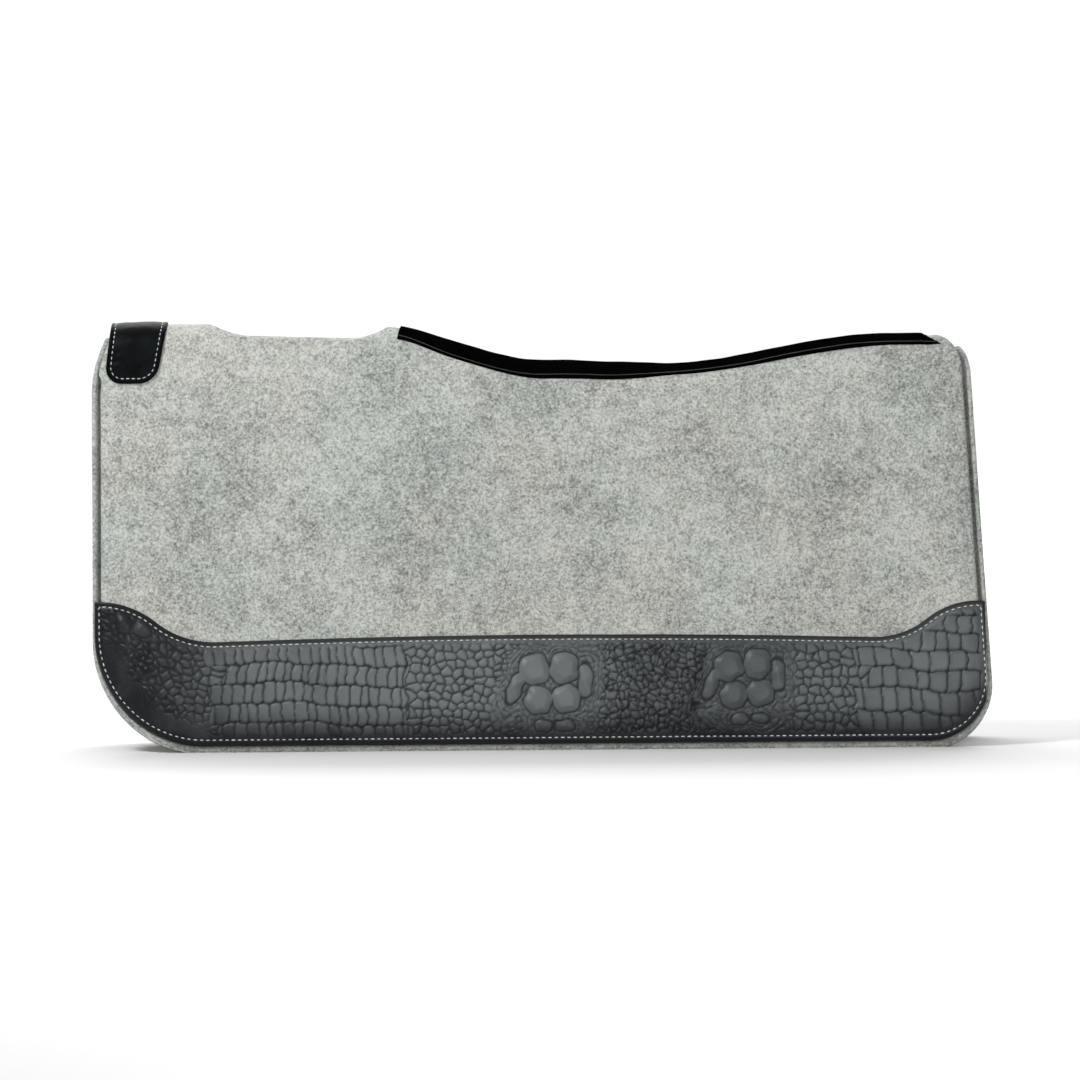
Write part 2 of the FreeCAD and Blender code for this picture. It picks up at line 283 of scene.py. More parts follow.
    def edge_distance(self, x: Array, z: Array, side: Array | float = 0.0, bottom: float = 0.0) -> Array:
        """Distance in from the outline's front, lower and rear edges."""
        half = self.length / 2
        low_f, low_r = self.front_bottom_r - side, self.rear_bottom_r - side
        high_f, high_r = self.front_top_r - side, self.rear_top_r - side
        rear = (self.rear_line(z, side, bottom) - x) * math.cos(self.rear_lean)
        rear_top = self.hinge_z + self.rear_top_rise - high_r
        found = np.minimum(np.minimum(x + half - side, z - bottom), rear)
        for way, up, centre_x, centre_z, radius in (
                (-1, -1, side + low_f - half, bottom + low_f, low_f),
                (1, -1, half - side - low_r, bottom + low_r, low_r),
                (-1, 1, self.front_top_r - half, self.hinge_z + self.front_top_rise, high_f),
                (1, 1, self.rear_line(rear_top, side, bottom) - high_r, rear_top, high_r)):
            over_x, over_z = x - centre_x, z - centre_z
            cornered = (over_x * way > 0) & (over_z * up > 0)
            found = np.where(cornered, radius - np.hypot(over_x, over_z), found)
        return found

    def slot_angle(self, x: Array) -> Array:
        """Half the angle that the wither relief opens over the arch at x."""
        radius = float(self.arch(np.array(self.slot_front))[0])
        slope = math.tan(math.asin(self.slot_half_width / radius))
        end = radius * slope
        beyond = np.maximum(np.maximum(self.slot_front + end - x, x - (self.slot_rear - end)), 0)
        inner = np.maximum(slope ** 2 - (beyond / radius) ** 2, 0) / (1 + slope ** 2)
        return np.arcsin(np.sqrt(inner))

    def slot_edge(self, x: Array) -> Array:
        """The t at which the felt ends at the wither relief, or nearly 0 where it is closed."""
        radius, _ = self.arch(x)
        return np.maximum(radius * self.slot_angle(x), 0.05)

    def swell(self, x: Array, t: Array) -> Array:
        """The outer face's own unevenness, and how it is drawn in near the pad's edge."""
        z = self.height(x, t)
        over_spine = smooth(z, self.hinge_z + 12, self.hinge_z + 36)
        drawn = (1 - smooth(self.edge_distance(x, z), 0, self.pinch_width)) * (1 - 0.7 * over_spine)
        raised = self.loin_rise * smooth(x, *self.loin) * over_spine
        uneven = self.slow * waves(x, t, 11, 210, 90) + self.quick * waves(x, t, 12, 70, 35)
        return uneven - self.pinch * drawn + raised


# Meshes


def grid_quads(rows: int, columns: int, start: int = 0) -> Array:
    """Quads of a grid whose points are numbered row by row from start."""
    index = start + np.arange(rows * columns).reshape(rows, columns)
    corners = (index[:-1, :-1], index[:-1, 1:], index[1:, 1:], index[1:, :-1])
    return np.stack([c.ravel() for c in corners], axis=1)


def border(rows: int, columns: int) -> Array:
    """The numbers of a grid's border points, in order round it."""
    index = np.arange(rows * columns).reshape(rows, columns)
    return np.concatenate([index[0, :-1], index[:-1, -1], index[-1, :0:-1], index[:0:-1, 0]])


def ring_quads(first: Array, second: Array) -> Array:
    """Quads between two closed loops of the same number of points."""
    return np.stack([first, np.roll(first, -1), np.roll(second, -1), second], axis=1)


def slab_faces(rows: int, columns: int) -> Array:
    """Faces of a grid, of a second grid behind it, and of the wall between them."""
    size = rows * columns
    loop = border(rows, columns)
    back = grid_quads(rows, columns, size)[:, ::-1]
    return np.concatenate([grid_quads(rows, columns), back, ring_quads(loop, loop + size)])


def make_piece(name: str, points: Array, faces: Iterable[Sequence[int]], side: Side = Side.RIGHT,
               attributes: dict[str, Array] | None = None) -> bpy.types.Object:
    """Make a closed mesh object from points in millimetres.

    Args:
        name: the piece's name.
        points: one row of three for each point, as on the right half.
        faces: point numbers of each face.
        side: the half that the piece is on; the left is mirrored.
        attributes: named values, one for each point.

    Returns:
        The new object, with smooth faces that point outwards.
    """
    placed = np.array(points, float) * MM
    placed[:, 1] *= side.value
    mesh = bpy.data.meshes.new(name)
    mesh.from_pydata(placed.tolist(), [], [list(map(int, face)) for face in faces])
    for key, values in (attributes or {}).items():
        mesh.attributes.new(key, "FLOAT", "POINT").data.foreach_set("value", values.astype(np.float32))
    work = bmesh.new()
    work.from_mesh(mesh)
    bmesh.ops.recalc_face_normals(work, faces=work.faces)
    work.to_mesh(mesh)
    work.free()
    mesh.shade_smooth()
    piece = bpy.data.objects.new(name, mesh)
    bpy.context.scene.collection.objects.link(piece)
    return piece


def spread_columns(left: Array, right: Array, edge: Sequence[float], step: float) -> Array:
    """Places across each row: close together by both ends, and even between.

    Args:
        left: each row's left end.
        right: each row's right end.
        edge: distances in from the ends.
        step: about how far apart the rest are.

    Returns:
        A grid of places, one row for each row.
    """
    near = np.asarray(edge, float)
    count = max(int(round(float(np.max(right - left) - 2 * near[-1]) / step)), 2)
    share = np.linspace(0, 1, count + 1)[1:-1]
    middle = (left + near[-1])[:, None] + (right - left - 2 * near[-1])[:, None] * share
    return np.concatenate([left[:, None] + near, middle, right[:, None] - near[::-1]], axis=1)


# Shader and geometry node trees


class Value:
    """A socket that adds Math nodes when it is used in an expression."""

    def __init__(self, tree: "Tree", socket: bpy.types.NodeSocket) -> None:
        """Wrap a socket of a tree."""
        self.tree = tree
        self.socket = socket

    def math(self, operation: str, *others: "Value | float", swap: bool = False) -> "Value":
        """Add one Math node.

        Args:
            operation: the node's operation.
            others: its other values.
            swap: whether this value comes second.

        Returns:
            The node's result.
        """
        values: list[Any] = [self, *others]
        if swap:
            values.reverse()
        made = self.tree.node("ShaderNodeMath", {"operation": operation}, dict(enumerate(values)))
        return Value(self.tree, made.outputs[0])

    def __add__(self, other: "Value | float") -> "Value":
        """Add."""
        return self.math("ADD", other)

    __radd__ = __add__

    def __sub__(self, other: "Value | float") -> "Value":
        """Subtract."""
        return self.math("SUBTRACT", other)

    def __rsub__(self, other: float) -> "Value":
        """Subtract from a number."""
        return self.math("SUBTRACT", other, swap=True)

    def __mul__(self, other: "Value | float") -> "Value":
        """Multiply."""
        return self.math("MULTIPLY", other)

    __rmul__ = __mul__

    def __truediv__(self, other: "Value | float") -> "Value":
        """Divide."""
        return self.math("DIVIDE", other)

    def ramp(self, low: float, high: float) -> "Value":
        """Rise smoothly from 0 at low to 1 at high."""
        made = self.tree.node("ShaderNodeMapRange", {"interpolation_type": "SMOOTHSTEP"},
                              {"Value": self, "From Min": low, "From Max": high})
        return Value(self.tree, made.outputs["Result"])


@dataclass
class Tree:
    """A node tree, with one method that adds any node."""

    nodes: bpy.types.Nodes
    links: bpy.types.NodeLinks

    def node(self, kind: str, settings: dict[str, Any] | None = None,
             inputs: dict[str | int, Any] | None = None) -> bpy.types.Node:
        """Add a node.

        Args:
            kind: the node's type.
            settings: its properties, set first.
            inputs: values or links of its sockets, by name or number.

        Returns:
            The new node.
        """
        made = self.nodes.new(kind)
        for key, value in (settings or {}).items():
            setattr(made, key, value)
        for key, value in (inputs or {}).items():
            if isinstance(value, Value):
                value = value.socket
            if isinstance(value, bpy.types.NodeSocket):
                self.links.new(value, made.inputs[key])
            else:
                made.inputs[key].default_value = value
        return made

    def noise(self, where: bpy.types.NodeSocket, scale: float, detail: float = 2.0,
              roughness: float = 0.5, distortion: float = 0.0) -> Value:
        """Noise of about -0.5 to 0.5, with scale in features for each metre."""
        made = self.node("ShaderNodeTexNoise", {}, {
            "Vector": where, "Scale": scale, "Detail": detail, "Roughness": roughness,
            "Distortion": distortion})
        return Value(self, made.outputs["Fac"]) - 0.5

    def attribute(self, name: str) -> Value:
        """A named value of the mesh."""
        made = self.node("ShaderNodeAttribute", {"attribute_name": name})
        return Value(self, made.outputs["Fac"])

    def mix(self, factor: Value | float, first: Any, second: Any,
            blend: str = "MIX") -> bpy.types.NodeSocket:
        """Mix two colours.

        Args:
            factor: share of the second.
            first: a colour or a colour socket.
            second: a colour or a colour socket.
            blend: how they mix.

        Returns:
            The mixed colour's socket.
        """
        made = self.node("ShaderNodeMix", {"data_type": "RGBA", "blend_type": blend}, {0: factor})
        for socket, value in ((made.inputs[6], first), (made.inputs[7], second)):
            if isinstance(value, bpy.types.NodeSocket):
                self.links.new(value, socket)
            else:
                socket.default_value = (*value, 1.0)
        return made.outputs[2]

    def bump(self, height: Value, distance: float, strength: float) -> bpy.types.NodeSocket:
        """A normal that height bends, where height 1 stands distance high."""
        made = self.node("ShaderNodeBump", {}, {
            "Strength": strength, "Distance": distance, "Height": height})
        return made.outputs["Normal"]


@dataclass(frozen=True)
class Finish:
    """A finish: a name, and a way to lay it on pieces."""

    name: str

    def colours(self, tree: Tree, where: bpy.types.NodeSocket) -> dict[str, Any]:
        """Inputs of the Principled shader. Each finish gives its own."""
        raise NotImplementedError

    def material(self) -> bpy.types.Material:
        """The finish's material, made once."""
        title = self.name + "_finish"
        found = bpy.data.materials.get(title)
        if found:
            return found
        made = bpy.data.materials.new(title)
        made.use_nodes = True
        made.node_tree.nodes.clear()
        tree = Tree(made.node_tree.nodes, made.node_tree.links)
        where = tree.node("ShaderNodeTexCoord").outputs["Object"]
        shader = tree.node("ShaderNodeBsdfPrincipled", {}, self.colours(tree, where))
        tree.node("ShaderNodeOutputMaterial", {}, {"Surface": shader.outputs[0]})
        return made

    def lay_on(self, *pieces: bpy.types.Object) -> None:
        """Give the finish to each piece."""
        for piece in pieces:
            piece.data.materials.clear()
            piece.data.materials.append(self.material())


@dataclass(frozen=True)
class FeltFinish(Finish):
    """Pressed heather wool: light and dark fibres in soft cool and warm clouds."""

    light: Colour = (0.51, 0.52, 0.485)
    dark: Colour = (0.085, 0.09, 0.086)
    cool: Colour = (0.955, 0.99, 0.985)
    warm: Colour = (1.0, 0.995, 0.975)

    def colours(self, tree: Tree, where: bpy.types.NodeSocket) -> dict[str, Any]:
        """Speckle and fibre in three sizes."""
        speckle = tree.noise(where, 420, 4, 0.75, 0.3)
        fibre = tree.noise(where, 1100, 2, 0.6, 1.5)
        tuft = tree.noise(where, 95, 3, 0.6, 0.5)
        cloud = tree.noise(where, 15, 3, 0.55)
        shade = 0.45 + speckle * 1.9 + fibre * 0.5 + tuft * 0.55 + cloud * 0.5
        grey = tree.mix(shade.ramp(0.0, 1.0), self.light, self.dark)
        cast = tree.mix(tree.noise(where, 11, 2).ramp(-0.14, 0.14), self.warm, self.cool)
        height = fibre * 0.6 + speckle * 0.9 + tuft * 0.5
        return {
            "Base Color": tree.mix(1.0, grey, cast, "MULTIPLY"),
            "Roughness": 0.96,
            "Specular IOR Level": 0.1,
            "Sheen Weight": 0.08,
            "Sheen Roughness": 0.6,
            "Normal": tree.bump(height, 0.0011, 0.75),
        }


@dataclass(frozen=True)
class LeatherFinish(Finish):
    """Embossed leather: worn scale tops, darker grooves and burnished edges."""
    # """Embossed leather: scuffed scale tops, with painted shade in the grooves, creases, rolled rim and
    # needle holes."""

    top: Colour = (0.104, 0.115, 0.116)
    groove_shade: Colour = (0.003, 0.004, 0.005)
    roughness: float = 0.42
    grain: float = 0.6
    shine: float = 0.2

    def colours(self, tree: Tree, where: bpy.types.NodeSocket) -> dict[str, Any]:
        """Colour by the mesh's groove shade, tone and edge values, which carry painted shade; tone also
        carries each scale's own random tone.
        """
        groove_shade = tree.attribute("groove_shade")
        tone = tree.attribute("tone")
        edge = tree.attribute("edge")
        pore = tree.noise(where, 950, 3, 0.65, 0.4)
        crease = tree.noise(where, 210, 4, 0.6, 1.6)
        scuff = tree.noise(where, 26, 4, 0.6)
        # Mix from the dark colour to the top colour by the tone value, which on the wear leathers carries
        # painted shade, and by random scuffs and pores.
        tone_and_shade = tree.mix(tone + scuff * 0.6 + pore * 0.3, self.groove_shade, self.top)
        height = crease * self.grain + pore * 0.35
        return {
            # Painted shade: grooves, creases, the rolled rim and needle holes take the dark colour.
            "Base Color": tree.mix(groove_shade * 0.9 + edge, tone_and_shade, self.groove_shade),
            "Roughness": self.roughness + groove_shade * 0.2 + scuff * 0.16 + pore * 0.12,
            "Specular IOR Level": self.shine,
            "Normal": tree.bump(height, 0.0005, 0.5),
        }


@dataclass(frozen=True)
class GrainFinish(Finish):
    """A plain finish: a fine grain and a slower cloud shade it between two colours.

    A noise is its scale, detail, roughness and distortion. Shading and roughness say how much the
    noises count, and then what is added to them.
    """

    colour: Colour = (0.58, 0.60, 0.61)
    shade: Colour = (0.22, 0.24, 0.26)
    grain: tuple[float, ...] = (1500, 2, 0.5, 1.0)
    cloud: tuple[float, ...] = (150, 3, 0.6)
    shading: tuple[float, float, float] = (0.8, 1.1, 0.35)
    roughness: tuple[float, float] = (0.2, 0.62)
    cloud_relief: float = 0.0
    relief: tuple[float, float] = (0.0003, 0.5)
    shine: float = 0.5

    def colours(self, tree: Tree, where: bpy.types.NodeSocket) -> dict[str, Any]:
        """Shade, roughness and relief by the two noises."""
        grain, cloud = tree.noise(where, *self.grain), tree.noise(where, *self.cloud)
        shade = grain * self.shading[0] + cloud * self.shading[1] + self.shading[2]
        return {
            "Base Color": tree.mix(shade.ramp(0, 1), self.colour, self.shade),
            "Roughness": grain * self.roughness[0] + self.roughness[1],
            "Specular IOR Level": self.shine,
            "Normal": tree.bump(grain + cloud * self.cloud_relief, *self.relief),
        }


@dataclass(frozen=True)
class Finishes:
    """Every finish of the pad."""

    upper_felt: FeltFinish = FeltFinish("upper_felt")
    lower_felt: FeltFinish = FeltFinish("lower_felt", light=(0.48, 0.49, 0.46), dark=(0.09, 0.095, 0.09))
    wear: LeatherFinish = LeatherFinish("wear_leather")
    patch: LeatherFinish = LeatherFinish("patch_leather", top=(0.0045, 0.006, 0.0065),
                                         groove_shade=(0.001, 0.0012, 0.0013), roughness=0.42, grain=0.35,
                                         shine=0.03)
    band: GrainFinish = GrainFinish(
        "spine_band", colour=(0.0008, 0.0008, 0.0008), shade=(0.002, 0.002, 0.002),
        grain=(1300, 3, 0.6, 0.5), cloud=(60, 3, 0.6), shading=(0.0, 1.0, 0.3), roughness=(0.2, 0.8),
        cloud_relief=0.3, relief=(0.0004, 0.6), shine=0.0)
    pale: GrainFinish = GrainFinish("pale_thread")
    black: GrainFinish = GrainFinish(
        "black_thread", colour=(0.010, 0.010, 0.011), shade=(0.004, 0.004, 0.004))
    foam: GrainFinish = GrainFinish(
        "core_foam", colour=(0.045, 0.046, 0.05), shade=(0.02, 0.02, 0.022), grain=(900, 2, 0.5),
        shading=(1.0, 0.0, 0.4), roughness=(0.1, 0.85), relief=(0.0004, 0.5))
    floor: GrainFinish = GrainFinish(
        "floor", colour=(0.62, 0.62, 0.62), shade=(0.60, 0.60, 0.60), cloud=(1.5, 2),
        shading=(0.0, 1.0, 0.5), roughness=(0.0, 0.9), relief=(0.001, 0.0))


def place(piece: bpy.types.Object, finish: Finish, body: str, node: str) -> bpy.types.Object:
    """Dress a piece that stands in for one CAD node, and carry it on a body.

    Args:
        piece: the piece.
        finish: its finish, whose name is also its slot's.
        body: the body that carries it.
        node: the node whose place it takes.

    Returns:
        The same piece.
    """
    finish.lay_on(piece)
    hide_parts(node)
    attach(piece, body)
    LOG.info("%s: %d faces", piece.name, len(piece.data.polygons))
    return piece


# Stitches


@dataclass
class StitchRow:
    """A row of separate stitches along a path, made by a geometry node tree."""

    pitch: float = 5.7
    length: float = 3.3
    radius: float = 0.5
    unevenness: float = 0.09
    seed: int = 4

    def tree(self) -> bpy.types.NodeTree:
        """The node tree, made once: it spaces, turns and joins the stitches."""
        found = bpy.data.node_groups.get("stitch_row")
        if found:
            return found
        group = bpy.data.node_groups.new("stitch_row", "GeometryNodeTree")
        face = group.interface
        face.new_socket("Path", in_out="INPUT", socket_type="NodeSocketGeometry")
        for name in ("Pitch", "Length", "Radius", "Unevenness"):
            face.new_socket(name, in_out="INPUT", socket_type="NodeSocketFloat")
        face.new_socket("Thread", in_out="INPUT", socket_type="NodeSocketMaterial")
        face.new_socket("Stitches", in_out="OUTPUT", socket_type="NodeSocketGeometry")
        tree = Tree(group.nodes, group.links)
        given = tree.node("NodeGroupInput").outputs
        span = Value(tree, tree.node("GeometryNodeCurveLength", {}, {0: given["Path"]}).outputs[0])
        count = span / Value(tree, given["Pitch"])
        spaced = tree.node("GeometryNodeResampleCurve", {"mode": "COUNT"},
                           {"Curve": given["Path"], "Count": count.math("ROUND")})
        ball = tree.node("GeometryNodeMeshUVSphere", {}, {"Segments": 8, "Rings": 7, "Radius": 1.0})
        radius = Value(tree, given["Radius"])
        size = tree.node("ShaderNodeCombineXYZ", {}, {
            "X": radius, "Y": radius, "Z": Value(tree, given["Length"]) * 0.5})
        shaped = tree.node("GeometryNodeTransform", {}, {
            "Geometry": ball.outputs[0], "Scale": size.outputs[0]})
        tangent = tree.node("GeometryNodeInputTangent").outputs[0]
        aligned = tree.node("FunctionNodeAlignRotationToVector", {"axis": "Z"}, {"Vector": tangent})
        low = 1.0 - Value(tree, given["Unevenness"])
        high = 1.0 + Value(tree, given["Unevenness"])
        vary = tree.node("FunctionNodeRandomValue", {"data_type": "FLOAT"},
                         {2: low, 3: high, "Seed": self.seed})
        placed = tree.node("GeometryNodeInstanceOnPoints", {}, {
            "Points": spaced.outputs[0], "Instance": shaped.outputs[0],
            "Rotation": aligned.outputs[0], "Scale": vary.outputs[1]})
        real = tree.node("GeometryNodeRealizeInstances", {}, {0: placed.outputs[0]})
        dressed = tree.node("GeometryNodeSetMaterial", {}, {
            "Geometry": real.outputs[0], "Material": given["Thread"]})
        tree.node("NodeGroupOutput", {}, {0: dressed.outputs[0]})
        return group

    def sew(self, name: str, paths: Sequence[tuple[Array, bool]], finish: Finish,
            body: str, node: str) -> bpy.types.Object:
        """Sew stitches along paths.

        Args:
            name: the piece's name.
            paths: points in millimetres, already on the right side, and whether each path closes.
            finish: the thread's finish.
            body: the body that carries the stitches.
            node: the CAD node whose place they take.

        Returns:
            The stitches as one plain mesh.
        """
        curve = bpy.data.curves.new(name + "_path", "CURVE")
        curve.dimensions = "3D"
        for points, closed in paths:
            spline = curve.splines.new("POLY")
            spline.points.add(len(points) - 1)
            flat = np.concatenate([points * MM, np.ones((len(points), 1))], axis=1)
            spline.points.foreach_set("co", flat.ravel())
            spline.use_cyclic_u = closed
        path = bpy.data.objects.new(name + "_path", curve)
        bpy.context.scene.collection.objects.link(path)
        modifier = path.modifiers.new("stitches", "NODES")
        modifier.node_group = self.tree()
        values = {"Pitch": self.pitch * MM, "Length": self.length * MM, "Radius": self.radius * MM,
                  "Unevenness": self.unevenness, "Thread": finish.material()}
        for item in modifier.node_group.interface.items_tree:
            if item.in_out == "INPUT" and item.name in values:
                modifier[item.identifier] = values[item.name]
        path.update_tag()
        seen = path.evaluated_get(bpy.context.evaluated_depsgraph_get())
        mesh = bpy.data.meshes.new_from_object(seen)
        mesh.name = name
        mesh.shade_smooth()
        bpy.data.objects.remove(path)
        piece = bpy.data.objects.new(name, mesh)
        bpy.context.scene.collection.objects.link(piece)
        return place(piece, finish, body, node)


def path_lengths(points: Array, closed: bool) -> Array:
    """Distance along a path at each of its points, and at its end last."""
    ends = np.concatenate([points, points[:1]]) if closed else points
    steps = np.linalg.norm(np.diff(ends, axis=0), axis=1)
    return np.concatenate([[0], np.cumsum(steps)])


def resample(points: Array, step: float, closed: bool = False) -> Array:
    """Even steps of about step along a path."""
    along = path_lengths(points, closed)
    ends = np.concatenate([points, points[:1]]) if closed else points
    count = max(int(round(along[-1] / step)), 2)
    at = np.linspace(0, along[-1], count + 1)
    if closed:
        at = at[:-1]
    return np.stack([np.interp(at, along, ends[:, k]) for k in range(points.shape[1])], axis=1)


def tree_of(points: Array) -> KDTree:
    """A search tree over flat points."""
    tree = KDTree(len(points))
    for i, (x, z) in enumerate(points):
        tree.insert((x, z, 0.0), i)
    tree.balance()
    return tree


def inset_path(outline: Array, distance: float) -> Array:
    """A closed outline, moved in by distance, with its corners kept sharp.

    Args:
        outline: points round the outline, anticlockwise.
        distance: how far in.

    Returns:
        Points of the inset loop.
    """
    fine = resample(outline, 0.5, True)
    along = np.roll(fine, -1, axis=0) - np.roll(fine, 1, axis=0)
    along /= np.linalg.norm(along, axis=1)[:, None]
    moved = fine + np.stack([-along[:, 1], along[:, 0]], axis=1) * distance
    tree = tree_of(fine)
    kept = [p for p in moved if tree.find((p[0], p[1], 0.0))[2] > distance - 0.04]
    return np.array(kept)


# Felt


@dataclass
class FeltHalf:
    """The two felt layers of one half, each one sheet from the spine to the lower edge."""

    shape: PadShape
    side: Side
    finishes: Finishes
    margin: float = 8.0
    wrapped: float = 4.4
    wrapped_bottom: float = 9.6
    leather_front_z: float = 136.0
    leather_rear_z: float = 131.0
    patch_rise: float = 13.5
    split_z: float = 300.0
    step: float = 4.0
    edge_radius: float = 3.0
    lower_radius: float = 1.8
    cut_radius: float = 1.6
    spring: float = 9.0
    spring_edge: tuple[float, float] = (3.0, 7.5)
    spring_fade: tuple[float, float] = (20.0, 42.0)
    spring_loss: float = 0.75
    followed: float = 0.35
    seam_width: float = 2.2
    seam_depth: float = 0.9
    seam_rise: float = 0.5
    corner_rows: int = 46
    climb_rows: int = 32
    core_room: float = 0.2
    core_margin: float = 32.0
    core_top: float = 290.0
    bend_start_z: float = 338.0
    bend_end_z: float = 292.0
    front_end: float = 12.0
    rear_end: float = 26.0
    near_columns: tuple[float, ...] = (0, 0.3, 0.8, 1.5, 2.4, 3.6, 5.5, 8.5)

    def upper_inset(self, z: Array, top: float, patched: bool) -> Array:
        """How far the upper felt stops inside the pad's edge at height z."""
        inset = self.wrapped + (self.margin - self.wrapped) * smooth(z, top - 9, top - 3)
        if patched:
            inset -= (self.margin - self.wrapped) * smooth(
                z - self.shape.hinge_z - self.patch_rise, 3, 9)
        return inset

    def layer(self, name: str, bottom: float, upper: bool) -> bpy.types.Object:
        """Build one layer.

        Args:
            name: the piece's name.
            bottom: height of its lower edge.
            upper: whether it is the upper felt.

        Returns:
            The closed mesh of the layer.
        """
        shape = self.shape
        corner = shape.front_bottom_r
        sweep = np.linspace(0, math.pi / 2, self.corner_rows)
        rows = np.concatenate([
            bottom + corner * (1 - np.cos(sweep)),
            np.arange(bottom + corner + self.step, self.split_z - self.step / 2, self.step),
            [self.split_z],
        ])
        share = np.linspace(0, 1, self.climb_rows + 1)[1:]
        ends = []
        level = 0.0 if upper else shape.lower_felt - shape.thick
        for x_end in (self.front_end - shape.length / 2, shape.length / 2 - self.rear_end):
            x = np.array(x_end)
            base = shape.down_to(x, np.array(self.split_z))
            climbing = shape.surface(x, base * (1 - share), level)[:, 2]
            ends.append(np.concatenate([rows, climbing]))
        front_z, rear_z = ends
        nothing = np.zeros_like(front_z)
        front_in = self.upper_inset(front_z, self.leather_front_z, True) if upper else nothing
        rear_in = self.upper_inset(rear_z, self.leather_rear_z, False) if upper else nothing
        left = shape.front(front_z, front_in, bottom)
        right = shape.rear(rear_z, rear_in, bottom)
        x = spread_columns(left, right, self.near_columns, self.step)
        base = shape.down_to(x, np.full_like(x, self.split_z))
        top = shape.slot_edge(x)
        climb = np.concatenate([np.zeros(len(rows)), share])[:, None]
        heights = np.concatenate([rows, nothing[len(rows):]])[:, None]
        flat = shape.down_to(x, np.broadcast_to(heights, x.shape))
        t = np.where(climb > 0, base + (top - base) * climb, flat)
        z = shape.height(x, t)
        inset = np.where(x < 0, front_in[:, None], rear_in[:, None])
        real_z = shape.surface(x, t, level)[..., 2]
        edge = np.maximum(shape.edge_distance(x, real_z, inset, bottom), 0)
        edge[0] = edge[:, 0] = edge[:, -1] = 0
        opened = smooth(top, 1.0, 6.0)
        slot = np.where(opened > 0, (t - top) / np.maximum(opened, 1e-3), 1e3)
        cut = round_over(np.maximum(slot, 0), self.cut_radius) * opened
        fall = np.maximum(round_over(edge, self.edge_radius if upper else self.lower_radius), cut)
        swell = shape.swell(x, t)
        seam = bell(t, self.seam_width)
        if upper:
            outer = swell - fall - self.seam_depth * seam
            inner = self.inside(x, z) + fall
        else:
            sprung = self.spring * (1 - smooth(edge, *self.spring_edge))
            sprung *= 1 - self.spring_loss * smooth(real_z - shape.hinge_z, *self.spring_fade)
            followed = np.minimum(swell, 0) * self.followed
            outer = shape.lower_felt - shape.thick + sprung - fall + followed
            inner = np.full_like(t, -shape.thick) + fall + self.seam_rise * seam
        return self.closed(name, x, t, outer, inner)

    def inside(self, x: Array, z: Array) -> Array:
        """Height of the upper felt's inner face, which is hollowed for the core."""
        shape = self.shape
        hollow = smooth(shape.edge_distance(x, z), self.core_margin - 6, self.core_margin - 1)
        hollow *= 1 - smooth(z, self.core_top, self.core_top + 6)
        return shape.lower_felt - shape.thick + (shape.core + self.core_room) * hollow

    def closed(self, name: str, x: Array, t: Array, outer: Array, inner: Array) -> bpy.types.Object:
        """Join an outer and an inner face into a closed sheet, flat where it stands on its edge."""
        points = self.shape.slab(x, t, outer, inner)
        points[:, 2] = np.maximum(points[:, 2], 0.0)
        return make_piece(name, points, slab_faces(*x.shape), self.side)

    def build(self) -> list[bpy.types.Object]:
        """Build both layers and dress them."""
        word = self.side.word
        shape = self.shape
        upper = self.layer(f"{word}_upper_felt_sheet", self.wrapped_bottom, True)
        lower = self.layer(f"{word}_lower_felt_sheet", 0.0, False)
        y = self.side.value * shape.half_width
        for piece, layer, finish in ((upper, "upper_felt", self.finishes.upper_felt),
                                     (lower, "lower_felt", self.finishes.lower_felt)):
            finish.lay_on(piece)
            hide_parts(f"{word}_{layer}", f"{word}_crown_{layer}")
            y * MM
            self.bend_start_z * MM
            y * MM
            self.bend_end_z * MM
            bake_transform(piece)
            LOG.info("%s: %d faces", piece.name, len(piece.data.polygons))
        return [upper, lower]


# Embossed hide pattern


@dataclass(frozen=True)
class Scute:
    """One large raised scale: a rounded rectangle, turned."""

    x: float
    z: float
    half_width: float
    half_height: float
    turn: float = 0.0
    squareness: float = 3.2

    def distance(self, x: Array, z: Array) -> Array:
        """About how far each place is outside the scale, and less than 0 inside."""
        c, s = math.cos(self.turn), math.sin(self.turn)
        u = ((x - self.x) * c + (z - self.z) * s) / self.half_width
        v = ((z - self.z) * c - (x - self.x) * s) / self.half_height
        reach = (np.abs(u) ** self.squareness + np.abs(v) ** self.squareness) ** (1 / self.squareness)
        return (reach - 1) * min(self.half_width, self.half_height)


